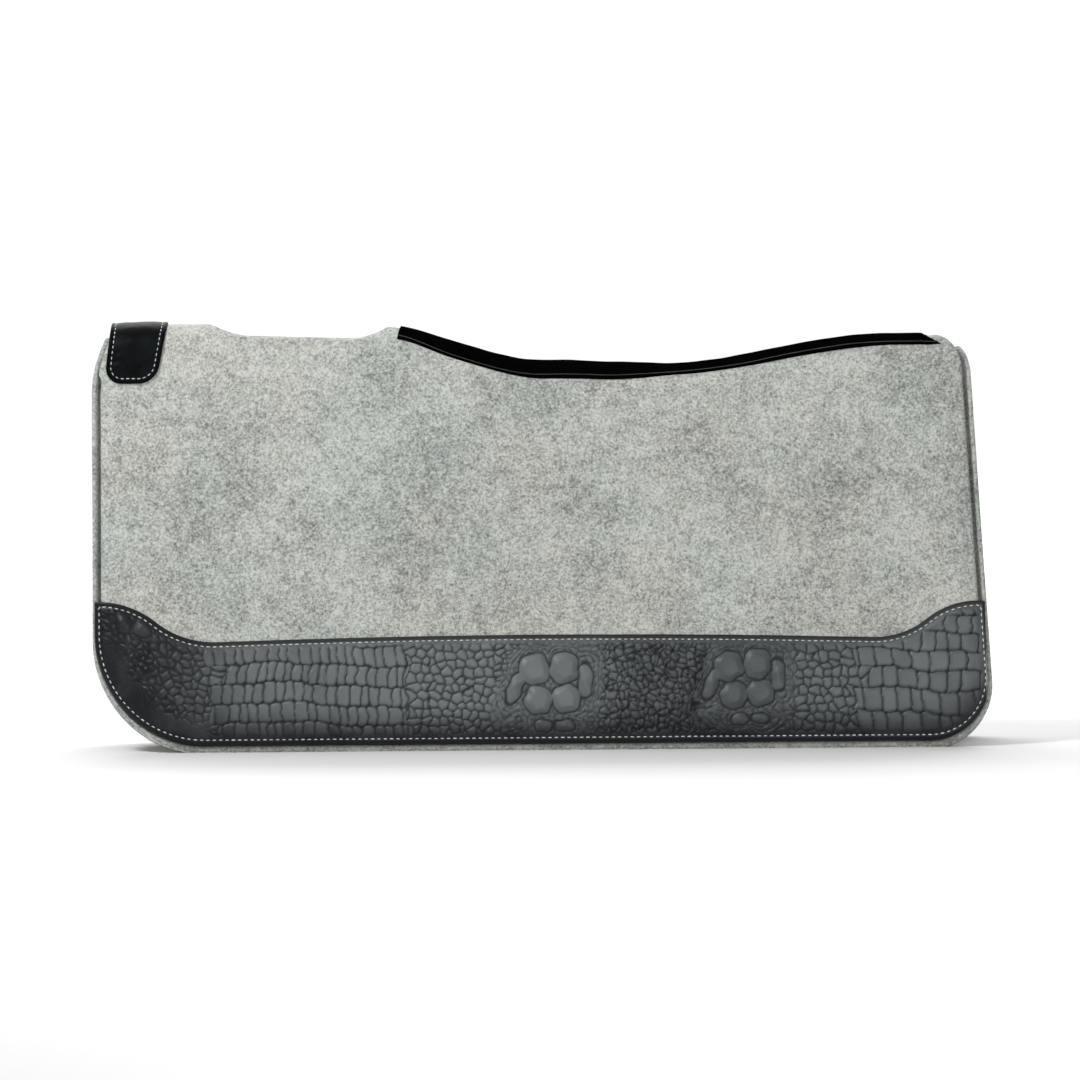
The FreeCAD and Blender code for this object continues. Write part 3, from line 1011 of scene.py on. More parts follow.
@dataclass
class TileRows:
    """Rows of upright tiles between two wavy ends."""

    start: float
    end: float
    lines: Sequence[float]
    width: float
    seed: int
    corner_r: float = 3.0
    past_end: float = 60.0

    def ends(self, z: Array) -> tuple[Array, Array]:
        """Where the rows start and end at height z: each row reaches its own way."""
        row = np.searchsorted(np.asarray(self.lines, float), z)
        wave = 9.0 * np.sin(2.3 * row + self.seed) + 2.0 * np.sin(z / 5.2)
        return self.start + wave, self.end + 7.0 * np.sin(3.1 * row) - 2.0 * np.sin(z / 4.6)

    def read(self, x: Array, z: Array) -> tuple[Array, Array, Array]:
        """Read the tiles.

        Args:
            x: distance along the spine.
            z: height on the flank.

        Returns:
            How deep inside its tile each place is, a number for the tile, and how deep inside the
            rows it is.
        """
        level = z - 2.6 * np.sin(x / 31 + self.seed) - 1.1 * np.sin(x / 11 + z / 15)
        lines = np.asarray(self.lines, float)
        row = np.clip(np.searchsorted(lines, level) - 1, 0, len(lines) - 2)
        high = np.minimum(level - lines[row], lines[row + 1] - level)
        wide = np.zeros_like(x)
        tile = np.zeros(x.shape, int)
        for k in range(len(lines) - 1):
            rng = np.random.default_rng(self.seed * 100 + k)
            count = int((self.end - self.start + self.past_end) / self.width / 0.85)
            walls = self.start - 20 + np.cumsum(self.width * rng.uniform(0.7, 1.3, count))
            lean = 0.10 * math.sin(2.1 * k + self.seed)
            slant = x + lean * (level - lines[k]) + 0.5 * np.sin(z / 4.0 + k)
            place = np.clip(np.searchsorted(walls, slant) - 1, 0, len(walls) - 2)
            gap = np.minimum(slant - walls[place], walls[place + 1] - slant)
            wide = np.where(row == k, gap, wide)
            tile = np.where(row == k, place + 97 * k, tile)
        radius = self.corner_r
        corner = radius - np.hypot(np.maximum(radius - wide, 0), np.maximum(radius - high, 0))
        deep = np.where((wide < radius) & (high < radius), corner, np.minimum(wide, high))
        start, end = self.ends(level)
        return np.maximum(deep, 0), tile, np.minimum(x - start, end - x)


@dataclass
class HidePattern:
    """A crocodile-grain emboss: pebbles, tile rows and two clusters of large scales."""

    low_z: float = 7.0
    high_z: float = 138.0
    seed: int = 7
    seeds: list[tuple[float, float, float]] = field(default_factory=list)
    scutes: list[Scute] = field(default_factory=list)
    cluster: tuple[tuple[float, float, float, float, float], ...] = (
        (-14.2, 14.0, 14.0, 14.2, 0.25), (12.6, 15.0, 13.2, 14.6, -0.08), (-11.0, -13.2, 12.8, 13.0, -0.2),
        (14.2, -12.6, 13.2, 12.8, 0.1), (-31.4, -2.0, 6.8, 15.6, -0.42), (31.6, 3.6, 6.8, 15.6, -0.06),
        (-6.4, -36.0, 8.4, 5.4, 0.05), (12.6, -36.2, 9.4, 5.2, -0.03))
    zones: tuple[tuple[float, float, float, float, float], ...] = (
        (-402, -350, 6.6, 5.6, 0.36), (-350, -280, 8.0, 7.0, 0.34), (-134, -40, 8.2, 7.6, 0.28),
        (-40, 56, 6.4, 4.6, 0.35), (56, 140, 8.0, 6.0, 0.38), (140, 226, 6.4, 5.2, 0.36),
        (226, 302, 9.0, 8.0, 0.28))
    pebble: tuple[float, float] = (2.6, 0.45)
    tile: tuple[float, float] = (3.0, 0.34)
    scute: tuple[float, float] = (7.0, 1.1)
    gap: float = 0.3
    warp: float = 0.7
    ring_pitch: float = 2.9
    reach_into_rows: float = 0.8
    rows: tuple[TileRows, ...] = (
        TileRows(-296, -122, (-20, 8, 25, 42, 60, 78, 96, 120), 9.6, 3),
        TileRows(286, 420, (-30, 4, 31, 52, 70, 87, 104, 121, 150), 13.6, 5),
    )

    def lay_pebbles(self, x0: float, x1: float, width: float, height: float, jitter: float) -> None:
        """Lay uneven rows of pebbles between x0 and x1.

        Args:
            x0: where the rows start.
            x1: where they end.
            width: a pebble's width.
            height: a row's height.
            jitter: how uneven the places are, as a share of the size.
        """
        rng = np.random.default_rng(self.seed + int(x0) + 1000)
        z = self.low_z + height / 2
        while z < self.high_z:
            x = x0 + rng.uniform(0, width)
            while x < x1:
                wave = 1.6 * math.sin(x / 17 + z / 30)
                dx, dz = rng.uniform(-jitter, jitter, 2)
                self.seeds.append((x + dx * width, z + wave + dz * height,
                                   rng.uniform(0.3, 0.46) * min(width, height)))
                x += width * rng.uniform(1 - jitter, 1 + jitter)
            z += height * rng.uniform(1 - jitter * 0.4, 1 + jitter * 0.4)

    def lay_cluster(self, x: float, z: float, scale: float, turn: float) -> None:
        """Lay a cluster of large scales: four in the middle, one each side and a low pair."""
        for dx, dz, wide, high, lean in self.cluster:
            c, s = math.cos(turn), math.sin(turn)
            self.scutes.append(Scute(x + scale * (dx * c - dz * s), z + scale * (dz * c + dx * s),
                                     wide * scale, high * scale, lean + turn, 2.6))

    def lay(self) -> "HidePattern":
        """Lay every zone of the hide from front to rear."""
        self.scutes += [Scute(-377, 116, 7.8, 9.8, 0.1, 2.4), Scute(-359, 112, 8.6, 9.0, -0.3, 2.4)]
        for zone in self.zones:
            self.lay_pebbles(*zone)
        self.lay_cluster(7, 58, 1.0, 0.0)
        self.lay_cluster(182, 61, 0.96, 0.05)
        x, z = np.array([(a, b) for a, b, _ in self.seeds]).T
        free = np.all([rows.read(x, z)[2] < self.reach_into_rows for rows in self.rows], axis=0)
        self.seeds = [seed for seed, keep in zip(self.seeds, free) if keep]
        return self

    def pebbles(self, x: Array, z: Array) -> tuple[Array, Array]:
        """How deep inside its pebble each place is, and the pebble's number."""
        tree = tree_of(np.array([(a, b) for a, b, _ in self.seeds]))
        reach = np.array([r for _, _, r in self.seeds])
        deep = np.empty(len(x))
        which = np.empty(len(x), int)
        for i, (a, b) in enumerate(zip(x.tolist(), z.tolist())):
            found = sorted((d - reach[k], k) for _, k, d in tree.find_n((a, b, 0.0), 4))
            deep[i] = (found[1][0] - found[0][0]) / 2
            which[i] = found[0][1]
        return deep, which

    def read(self, x: Array, z: Array) -> tuple[Array, Array, Array]:
        """Read the emboss at flat places.

        Args:
            x: distance along the spine.
            z: height on the flank.

        Returns:
            Relief in millimetres, how much painted shade each place takes in grooves, furrows and creases,
            and each scale's own tone.
        """
        flat_x, flat_z = x.ravel(), z.ravel()
        bent_x = flat_x + self.warp * waves(flat_x, flat_z, 33, 26, 10)
        bent_z = flat_z + self.warp * waves(flat_x, flat_z, 34, 26, 10)
        deep, which = self.pebbles(bent_x, bent_z)
        tones = np.random.default_rng(self.seed).uniform(-1, 1, 8192)
        tone = tones[which]
        dome, rise = (np.full_like(deep, value) for value in self.pebble)
        for rows in self.rows:
            tile_deep, tile, within = rows.read(bent_x, bent_z)
            inside = within > 0
            deep = np.where(inside, np.minimum(tile_deep, within), np.minimum(deep, -within))
            tone = np.where(inside, tones[4096 + tile], tone)
            dome, rise = np.where(inside, self.tile[0], dome), np.where(inside, self.tile[1], rise)
        big = np.stack([s.distance(bent_x, bent_z) for s in self.scutes], axis=1)
        nearest = big.min(axis=1)
        in_big = nearest < self.gap
        around = np.minimum(deep, np.maximum(nearest - self.gap, 0))
        deep = np.where(in_big, np.maximum(-nearest, 0), around)
        tone = np.where(in_big, tones[big.argmin(axis=1)], tone)
        dome, rise = np.where(in_big, self.scute[0], dome), np.where(in_big, self.scute[1], rise)
        # Painted shade: the colour is darkened in the grooves between pebbles, tiles and scales.
        groove_shade = 1 - smooth(deep, 0.1, np.where(in_big, 1.3, 0.95))
        height = 0.55 * (1 - groove_shade) + rise * smooth(deep / dome, 0, 1)
        outside = np.maximum(nearest, 0)
        flow = bell(outside - 5.0, 5.0) * (outside > self.gap) * (flat_x > -60)
        ring = outside + 1.1 * waves(flat_x, flat_z, 31, 30, 12)
        ridge = 0.5 + 0.5 * np.sin(2 * math.pi * ring / self.ring_pitch)
        height = height * (1 - 0.7 * flow) + flow * 0.6 * ridge
        # Painted shade in the furrows between the flow ridges.
        groove_shade = groove_shade * (1 - 0.7 * flow) + flow * 0.4 * (1 - smooth(ridge, 0.05, 0.5))
        worked = smooth(flat_x, 44, 62) * (1 - smooth(flat_x, 138, 152)) * (1 - in_big)
        # Painted shade in the creases of the worked zone.
        for seed in (35, 36):
            crease = bell(waves(flat_x * 1.3, flat_z * 0.7, seed, 34, 13), 0.13) * worked
            height -= 0.75 * crease
            groove_shade = np.maximum(groove_shade, 0.8 * crease)
        return height.reshape(x.shape), groove_shade.reshape(x.shape), tone.reshape(x.shape)


# Leathers


@dataclass
class WearLeather:
    """The embossed strip along one flank's lower edge, with its rim turned down over the felt."""

    shape: PadShape
    side: Side
    finishes: Finishes
    pattern: HidePattern
    inset_side: float = 2.0
    inset_bottom: float = 7.2
    body_z: float = 99.0
    crest: float = 4.5
    front_ear: tuple[float, float, float] = (-401.0, 106.0, 136.0)
    rear_ear: tuple[float, float, float] = (393.0, 93.0, 131.0)
    thickness: float = 2.2
    relief: float = 2.2
    step: float = 1.06
    row_inset: float = 4.4
    rim_radius: float = 3.6
    top_radius: float = 1.7
    rim_depth: float = 13.4
    emboss_start: tuple[float, float] = (0.9, 5.0)
    corner_fade: tuple[float, float] = (17.0, 34.0)
    front_zone: float = -300.0
    ear_z: float = 98.0
    sewn_depth: float = 0.55
    sewn_width: float = 1.15
    puff: float = 2.0
    puff_run: tuple[float, float] = (-2.0, 26.0)
    uneven: float = 0.25
    # Painted shade on the rolled rim outside the stitch row, on the rim's wall and in the needle holes.
    rim_shade_run: tuple[float, float] = (-1.8, 0.4)
    # Painted shade in the fold crease.
    fold_shade: float = 0.35
    hole_reach: float = 1.3
    top_wall: float = 1.2
    rim_shade: float = 0.85
    tone_spread: float = 0.07
    sewn_in: float = 0.22
    hole: tuple[float, float] = (0.45, 0.7)
    least_span: float = 12.0
    near_columns: tuple[float, ...] = (0, 0.12, 0.4, 0.8, 1.3, 1.9, 2.6, 3.4)
    near_rows: tuple[float, ...] = (0, 0.35, 0.9, 1.6, 2.4, 3.3)
    crease: tuple[float, float, float] = (141.0, 5.5, 2.6)
    # Painted shade: how light the leather is along its length, darkest at the front end.
    painted_shade: tuple[tuple[float, float], ...] = (
        (-404, 0.0), (-365, 0.05), (-250, 0.84), (-80, 1.04), (20, 0.92), (105, 0.52), (175, 0.58),
        (300, 0.84), (400, 0.76))

    def top(self, x: Array) -> Array:
        """Height of the leather's top edge: two arcs fall from each ear to the body."""
        foot, rear_foot = self.front_ear[0] + self.front_ear[1], self.rear_ear[0] - self.rear_ear[1]
        share = (2 * x - foot - rear_foot) / (rear_foot - foot)
        z = self.body_z + self.crest * np.clip(1 - share ** 2, 0, 1)
        for start, run, ear in (self.front_ear, self.rear_ear):
            way = 1 if start < 0 else -1
            rise = ear - self.body_z
            radius = (run * run + rise * rise) / (4 * rise)
            along = np.clip((x - start) * way, 0, run)
            first = ear - radius + np.sqrt(radius ** 2 - np.minimum(along, run / 2) ** 2)
            second = self.body_z + radius - np.sqrt(radius ** 2 - np.minimum(run - along, run / 2) ** 2)
            fall = np.where(along < run / 2, first, second)
            z = np.where((x - start) * way < run, fall, z)
        return z

    def bottom(self, x: Array) -> Array:
        """Height of the leather's lower edge, up its rounded corners."""
        shape = self.shape
        front = shape.front_bottom_r - self.inset_side
        rear = shape.rear_bottom_r - self.inset_side
        front_x = -shape.length / 2 + self.inset_side + front
        rear_x = shape.length / 2 - self.inset_side - rear
        rise = np.where(x < front_x, front - np.sqrt(np.maximum(front ** 2 - (x - front_x) ** 2, 0)), 0)
        rise = np.where(x > rear_x, rear - np.sqrt(np.maximum(rear ** 2 - (x - rear_x) ** 2, 0)), rise)
        return self.inset_bottom + rise

    def columns(self) -> Array:
        """Places of the grid's columns, closer together at both ends."""
        shape = self.shape
        ear = np.array(self.rear_ear[2])
        left = np.array([-shape.length / 2 + self.inset_side])
        right = np.array([float(shape.rear(ear, self.inset_side, self.inset_bottom))])
        return spread_columns(left, right, self.near_columns, self.step)[0]

    def outline(self) -> Array:
        """The leather's edge as a closed anticlockwise loop in x and z."""
        shape = self.shape
        z_rear = np.linspace(self.inset_bottom, self.rear_ear[2], 400)
        z_front = np.linspace(self.front_ear[2], self.inset_bottom, 400)
        right = np.stack([shape.rear(z_rear, self.inset_side, self.inset_bottom), z_rear], axis=1)
        left = np.stack([shape.front(z_front, self.inset_side, self.inset_bottom), z_front], axis=1)
        x_top = np.linspace(right[-1, 0], left[0, 0], 900)
        over = np.stack([x_top, self.top(x_top)], axis=1)
        x_low = np.linspace(left[-1, 0], right[0, 0], 700)
        under = np.stack([x_low, np.full_like(x_low, self.inset_bottom)], axis=1)
        return np.concatenate([right, over[1:], left[1:], under[1:-1]])

    def lift(self, x: Array, z: Array) -> tuple[Array, Array, Array]:
        """The leather's place on the felt.

        Args:
            x: distance along the spine.
            z: height on the flank.

        Returns:
            The t of each place, its distance in from the top edge, and that from the pad's own edge.
        """
        t = self.shape.down_to(x, z)
        slope = np.gradient(self.top(x[0]), x[0])
        from_top = (self.top(x) - z) / np.sqrt(1 + slope ** 2)
        from_rim = self.shape.edge_distance(x, z, self.inset_side, self.inset_bottom)
        return t, from_top, from_rim

    def build(self) -> bpy.types.Object:
        """Build, dress and place the leather, and sew it on."""
        shape = self.shape
        x_line = self.columns()
        rows = int(round((self.body_z - self.inset_bottom) / self.step)) + 6
        low, high = self.bottom(x_line), self.top(x_line)
        middle = np.linspace(0, 1, rows)[1:-1]
        span = np.maximum(high - low, self.least_span)
        near = np.array(self.near_rows)[:, None] * span / span.max()
        between = (low + near[-1]) + (high - low - 2 * near[-1]) * middle[:, None]
        z = np.concatenate([low + near, between, high - near[::-1]])
        x = np.broadcast_to(x_line, z.shape).copy()
        t, from_top, from_rim = self.lift(x, z)
        from_top[-1] = 0
        from_rim[0] = from_rim[:, 0] = from_rim[:, -1] = 0
        from_top, from_rim = np.maximum(from_top, 0), np.maximum(from_rim, 0)
        nearest = np.minimum(from_top, from_rim)
        relief, groove_shade, tone = self.pattern.read(x, z)
        past_row = nearest - self.row_inset
        inside = smooth(past_row, *self.emboss_start)
        strength = inside * self.pressed(x, z)
        height = (z - self.bottom(x)) / (self.top(x) - self.bottom(x))
        # Painted shade: darker towards the front end, the bottom and the top edge.
        painted_shade = ease(self.painted_shade, x) * smooth(height, -0.05, 0.42) * (1 - 0.25 * smooth(height, 0.8, 1.0))
        sewn = self.sewn_depth * bell(past_row, self.sewn_width)
        puff = self.puff * smooth(past_row, *self.puff_run)
        fold_x, fold_width, fold_depth = self.crease
        fold = bell(x - fold_x - (z - 60) * 0.12 - 1.5 * np.sin(z / 11), fold_width)
        fold *= smooth(z, 20, 38) * (1 - smooth(z, 82, 94))
        fall = round_over(from_rim, self.rim_radius) + round_over(from_top, self.top_radius)
        n = (self.thickness + shape.swell(x, t) + relief * strength * self.relief + puff - sewn
             - fold_depth * fold - fall + self.uneven * waves(x, z, 21, 60, 22) * inside)
        # Painted shade on the rolled rim outside the stitch row.
        rim_shade_mask = 1 - smooth(past_row, *self.rim_shade_run)
        # Painted shade in the fold crease, added to the grooves' painted shade.
        groove_shade = groove_shade * strength + fold * self.fold_shade
        # Painted shade in the needle holes and on the rolled rim, carried in the edge value.
        holes = self.holes(x, z, np.abs(past_row) < self.hole_reach)
        edge = np.maximum(rim_shade_mask * self.rim_shade, holes)
        # The tone value carries the painted shade and each scale's own tone.
        piece = self.shell(x, t, n, {
            "groove_shade": groove_shade, "tone": painted_shade + tone * strength * self.tone_spread, "edge": edge})
        place(piece, self.finishes.wear, self.side.body, f"{self.side.word}_wear_leather")
        self.sew()
        return piece

    def pressed(self, x: Array, z: Array) -> Array:
        """How firmly the emboss is pressed: weakly by the front corner, and firmly elsewhere."""
        corner = smooth(self.shape.edge_distance(x, z), *self.corner_fade)
        near_front = corner * (0.25 + 0.75 * smooth(x + z * 0.5, -345, -318))
        firm = np.where(x < self.front_zone, near_front, 1.0)
        return np.where(z > self.ear_z, np.maximum(firm, 0.85), firm)

    def row(self) -> Array:
        """The stitch row's path in x and z."""
        return resample(inset_path(self.outline(), self.row_inset), 1.0, True)

    def holes(self, x: Array, z: Array, close: Array) -> Array:
        """Painted shade in the needle's holes, between the stitches."""
        pitch = StitchRow().pitch
        row = self.row()
        total = path_lengths(row, True)[-1]
        count = int(round(total / pitch))
        at = resample(row, total / (2 * count), True)[1::2]
        tree = tree_of(at)
        dark = np.zeros(x.shape)
        radius, fade = self.hole
        for i, j in zip(*np.nonzero(close)):
            gap = tree.find((x[i, j], z[i, j], 0.0))[2]
            dark[i, j] = 1 - min(max((gap - radius) / fade, 0), 1)
        return dark

    def shell(self, x: Array, t: Array, n: Array, values: dict[str, Array]) -> bpy.types.Object:
        """Close the leather: its face, the rim's wall, and a flat back."""
        shape = self.shape
        rows, columns = x.shape
        size = rows * columns
        loop = border(rows, columns)
        rim_x, rim_t, rim_n = x.ravel()[loop], t.ravel()[loop], n.ravel()[loop]
        on_top = (loop > size - columns) & (loop < size - 1)
        foot = np.where(on_top, rim_n - self.top_wall, -self.rim_depth)
        rings = [shape.surface(rim_x, rim_t, rim_n * (1 - k) + foot * k) for k in (0.33, 0.66, 1.0)]
        points = np.concatenate([shape.surface(x, t, n).reshape(-1, 3), *rings])
        faces: list[Sequence[int]] = grid_quads(rows, columns).tolist()
        before = loop
        for k in range(len(rings)):
            after = size + len(loop) * k + np.arange(len(loop))
            faces += ring_quads(before, after).tolist()
            before = after
        faces.append(before.tolist())
        pad = len(points) - size
        attributes = {}
        for key, value in values.items():
            # Painted shade: the rim's wall and the back take the rim's full shade.
            rest = np.full(pad, self.rim_shade if key == "edge" else 0.0)
            attributes[key] = np.concatenate([value.ravel(), rest])
        return make_piece(f"{self.side.word}_wear_leather_sheet", points, faces, self.side, attributes)

    def sew(self) -> bpy.types.Object:
        """Sew the leather's whole edge with pale thread."""
        row = self.row()
        x, z = row[:, 0], row[:, 1]
        t = self.shape.down_to(x, z)
        n = self.thickness + self.shape.swell(x, t) - self.sewn_in
        points = self.shape.surface(x, t, n)
        points[:, 1] *= self.side.value
        word = self.side.word
        return StitchRow().sew(f"{word}_leather_stitches", [(points, True)], self.finishes.pale,
                               self.side.body, f"{word}_leather_stitching")


@dataclass
class SpineSheet:
    """A sheet that lies over the spine, from t = -reach to reach."""

    shape: PadShape
    finishes: Finishes
    sunk: float = 0.6
    thinnest: float = 0.3

    def shell(self, name: str, x: Array, t: Array, n: Array,
              values: dict[str, Array] | None = None) -> bpy.types.Object:
        """Close a sheet whose back is sunk a little way into the felt."""
        back = np.minimum(n - self.thinnest, self.shape.swell(x, t) - self.sunk)
        points = self.shape.slab(x, t, n, back)
        attributes = {key: np.tile(v.ravel(), 2) for key, v in (values or {}).items()}
        return make_piece(name, points, slab_faces(*x.shape), Side.RIGHT, attributes)


@dataclass
class WitherPatch(SpineSheet):
    """The dark leather saddled over the front of the spine."""

    foot_rise: float = 13.5
    front_x: float = -394.0
    middle_x: float = -370.0
    rear_x: float = -347.0
    front_rake: float = 0.115
    rear_rake: float = 0.19
    corner_r: float = 16.0
    thickness: float = 2.2
    row_inset: float = 4.4
    sewn_in: float = 0.2
    step: float = 0.9
    near: tuple[float, ...] = (0, 0.3, 0.8, 1.4, 2.2)

    @property
    def foot_z(self) -> float:
        """Height of the patch's lower edge."""
        return self.shape.hinge_z + self.foot_rise

    @property
    def foot_t(self) -> float:
        """Distance over the felt from the spine to the patch's lower edge."""
        return float(self.shape.down_to(np.array(self.middle_x), np.array(self.foot_z)))

    def turn(self, t: Array, inset: float = 0.0) -> Array:
        """How far the foot's rounded corners cut each side back at t."""
        radius = self.corner_r - inset
        dip = np.clip(np.abs(t) - (self.foot_t - inset - radius), 0, radius)
        return radius - np.sqrt(radius ** 2 - dip ** 2)

    def sides(self, t: Array, inset: float = 0.0) -> tuple[Array, Array]:
        """The front and rear edges' x at t, with the foot's corners rounded."""
        z = self.shape.height(np.full_like(t, self.middle_x), t)
        turn = self.turn(t, inset)
        front = self.front_x + inset + (z - self.foot_z) * self.front_rake + turn
        rear = self.rear_x - inset + (z - self.foot_z) * self.rear_rake - turn
        return front, rear

    def build(self) -> bpy.types.Object:
        """Build, dress, place and sew the patch."""
        shape = self.shape
        foot_t = self.foot_t
        t_line = spread_columns(np.array([-foot_t]), np.array([foot_t]), self.near, self.step)[0]
        front, rear = self.sides(t_line)
        x = spread_columns(front, rear, self.near, self.step)
        t = np.broadcast_to(t_line[:, None], x.shape).copy()
        ends = foot_t - np.abs(t)
        past = np.maximum(np.abs(t) - (foot_t - self.corner_r), 0)
        turn = self.turn(t_line)
        side = np.minimum(x - (front - turn)[:, None], (rear + turn)[:, None] - x)
        rounded = self.corner_r - np.hypot(past, np.maximum(self.corner_r - side, 0))
        nearest = np.where((past > 0) & (side < self.corner_r), rounded, np.minimum(side, ends))
        nearest = np.maximum(nearest, 0)
        nearest[0] = nearest[-1] = nearest[:, 0] = nearest[:, -1] = 0
        inside = smooth(nearest, self.row_inset + 0.5, self.row_inset + 3)
        creases = 0.22 * waves(x * 0.45, t, 41, 12, 5) + 0.15 * waves(x, t, 42, 30, 12)
        lower = smooth(np.abs(t), foot_t * 0.45, foot_t * 0.8)
        sewn = bell(nearest - self.row_inset, 1.1)
        puff = 0.5 * smooth(nearest, self.row_inset, self.row_inset + 9)
        n = (self.thickness + shape.swell(x, t) + puff - 0.5 * sewn
             + creases * inside * (0.3 + 0.7 * lower) - round_over(nearest, 1.6))
        # Painted shade in the lower creases, and on the rim outside the stitch row.
        groove_shade = smooth(-creases, 0.15, 0.5) * inside * lower
        edge = 0.8 * (1 - smooth(nearest, self.row_inset - 1.8, self.row_inset + 0.4))
        tone = 0.6 + 0.25 * waves(x, t, 43, 40, 20) * inside
        values = {"groove_shade": groove_shade, "tone": tone, "edge": edge}
        piece = self.shell("wither_patch_leather", x, t, n, values)
        place(piece, self.finishes.patch, "crown", "wither_patch")
        self.sew()
        return piece

    def sew(self) -> bpy.types.Object:
        """Sew round the patch with pale thread."""
        shape = self.shape
        foot_t = self.foot_t - self.row_inset
        radius = self.corner_r - self.row_inset
        bend = np.linspace(0, math.pi / 2, 12)
        ends = np.concatenate([
            np.linspace(0, foot_t - radius, 60), foot_t - radius + radius * np.sin(bend)])
        t_line = np.concatenate([-ends[::-1], ends[1:]])
        front, rear = self.sides(t_line, self.row_inset)
        flat = np.concatenate([
            np.stack([front, t_line], axis=1), np.stack([rear[::-1], t_line[::-1]], axis=1)])
        row = resample(flat, 1.0, True)
        x, t = row[:, 0], row[:, 1]
        points = shape.surface(x, t, self.thickness + shape.swell(x, t) - self.sewn_in)
        return StitchRow(pitch=5.0, length=2.9, radius=0.42).sew(
            "wither_patch_stitches", [(points, True)], self.finishes.pale,
            "crown", "wither_patch_stitching")


@dataclass
class SpineBand(SpineSheet):
    """The black band over the spine seam, wider at the dip and notched at its rear end."""

    front_x: float = -129.0
    rear_x: float = 364.0
    notch: float = 20.0
    drop: tuple[tuple[float, float], ...] = ((-131, 9.5), (-80, 14), (60, 14), (130, 9), (364, 9))
    thickness: float = 2.0
    row_inset: float = 3.0
    sewn_in: float = 0.15
    share_step: float = 0.045
    near_share: tuple[float, ...] = (0, 0.012, 0.03, 0.055, 0.085)
    near_rows: tuple[float, ...] = (0, 0.4, 1.0, 1.8, 3.0)

    def reach(self, x: Array) -> Array:
        """The band's half width, over the felt, at x."""
        return self.shape.down_to(x, self.shape.height(x, np.zeros_like(x)) - ease(self.drop, x))

    def build(self) -> bpy.types.Object:
        """Build, dress, place and sew the band."""
        shape = self.shape
        share = spread_columns(np.array([-1.0]), np.array([1.0]), self.near_share, self.share_step)[0]
        edge_x = np.array(self.near_rows)
        inner = np.arange(self.front_x + 5, self.rear_x - 5, 2.0)
        x_line = np.concatenate([self.front_x + edge_x, inner, self.rear_x - edge_x[::-1]])
        base = np.broadcast_to(x_line[:, None], (len(x_line), len(share))).copy()
        back = smooth(base, 250, self.rear_x)
        x = base - back * self.notch * (1 - np.abs(share)) ** 0.8
        x += (1 - smooth(base, self.front_x, self.front_x + 40)) * 3.0 * (1 - np.abs(share))
        reach = self.reach(np.minimum(x, self.rear_x))
        t = reach * share
        from_side = reach * (1 - np.abs(share))
        from_end = np.minimum(base - self.front_x, self.rear_x - base)
        nearest = np.maximum(np.minimum(from_side, from_end), 0)
        sewn = bell(from_side - self.row_inset, 1.0)
        n = (self.thickness + shape.swell(x, t) - round_over(nearest, 1.5) - 0.35 * sewn
             + 0.12 * waves(x, t * 2, 51, 60, 18))
        piece = self.shell("spine_band_strip", x, t, n)
        place(piece, self.finishes.band, "crown", "spine_band")
        self.sew()
        return piece

    def sew(self) -> bpy.types.Object:
        """Sew both edges of the band with black thread."""
        x = np.arange(self.front_x + 3, self.rear_x - 4, 1.0)
        rows = []
        for side in Side:
            t = (self.reach(x) - self.row_inset) * side.value
            n = self.thickness + self.shape.swell(x, t) - self.sewn_in
            rows.append((self.shape.surface(x, t, n), False))
        return StitchRow(pitch=4.6, length=3.0, radius=0.4).sew(
            "spine_band_stitches", rows, self.finishes.black, "crown", "spine_band_stitching")


@dataclass
class SeamThread:
    """The zigzag thread that joins the two halves, under the spine."""

    shape: PadShape
    finishes: Finishes
    pitch: float = 6.0
    half_width: float = 2.4
    thread: float = 0.55
    front_margin: float = 18.0
    rear_margin: float = 48.0
    clear: float = 0.2

    def build(self) -> bpy.types.Object:
        """Sew the zigzag ahead of the wither relief and behind it."""
        shape = self.shape
        paths = []
        for start, end in ((self.front_margin - shape.length / 2, shape.slot_front - 4),
                           (shape.slot_rear + 6, shape.length / 2 - self.rear_margin)):
            count = int((end - start) / (self.pitch / 2))
            x = np.linspace(start, end, count)
            radius, centre = shape.arch(x)
            inner = radius - shape.thick - self.clear
            angle = np.where(np.arange(count) % 2 == 0, 1, -1) * self.half_width / inner
            points = np.stack([x, inner * np.sin(angle), centre + inner * np.cos(angle)], axis=1)
            paths.append((resample(points, 1.5), False))
        return StitchRow(pitch=1.5, length=2.2, radius=self.thread, unevenness=0.02).sew(
            "spine_seam_zigzag", paths, self.finishes.pale, "crown", "spine_seam_thread")


# Studio


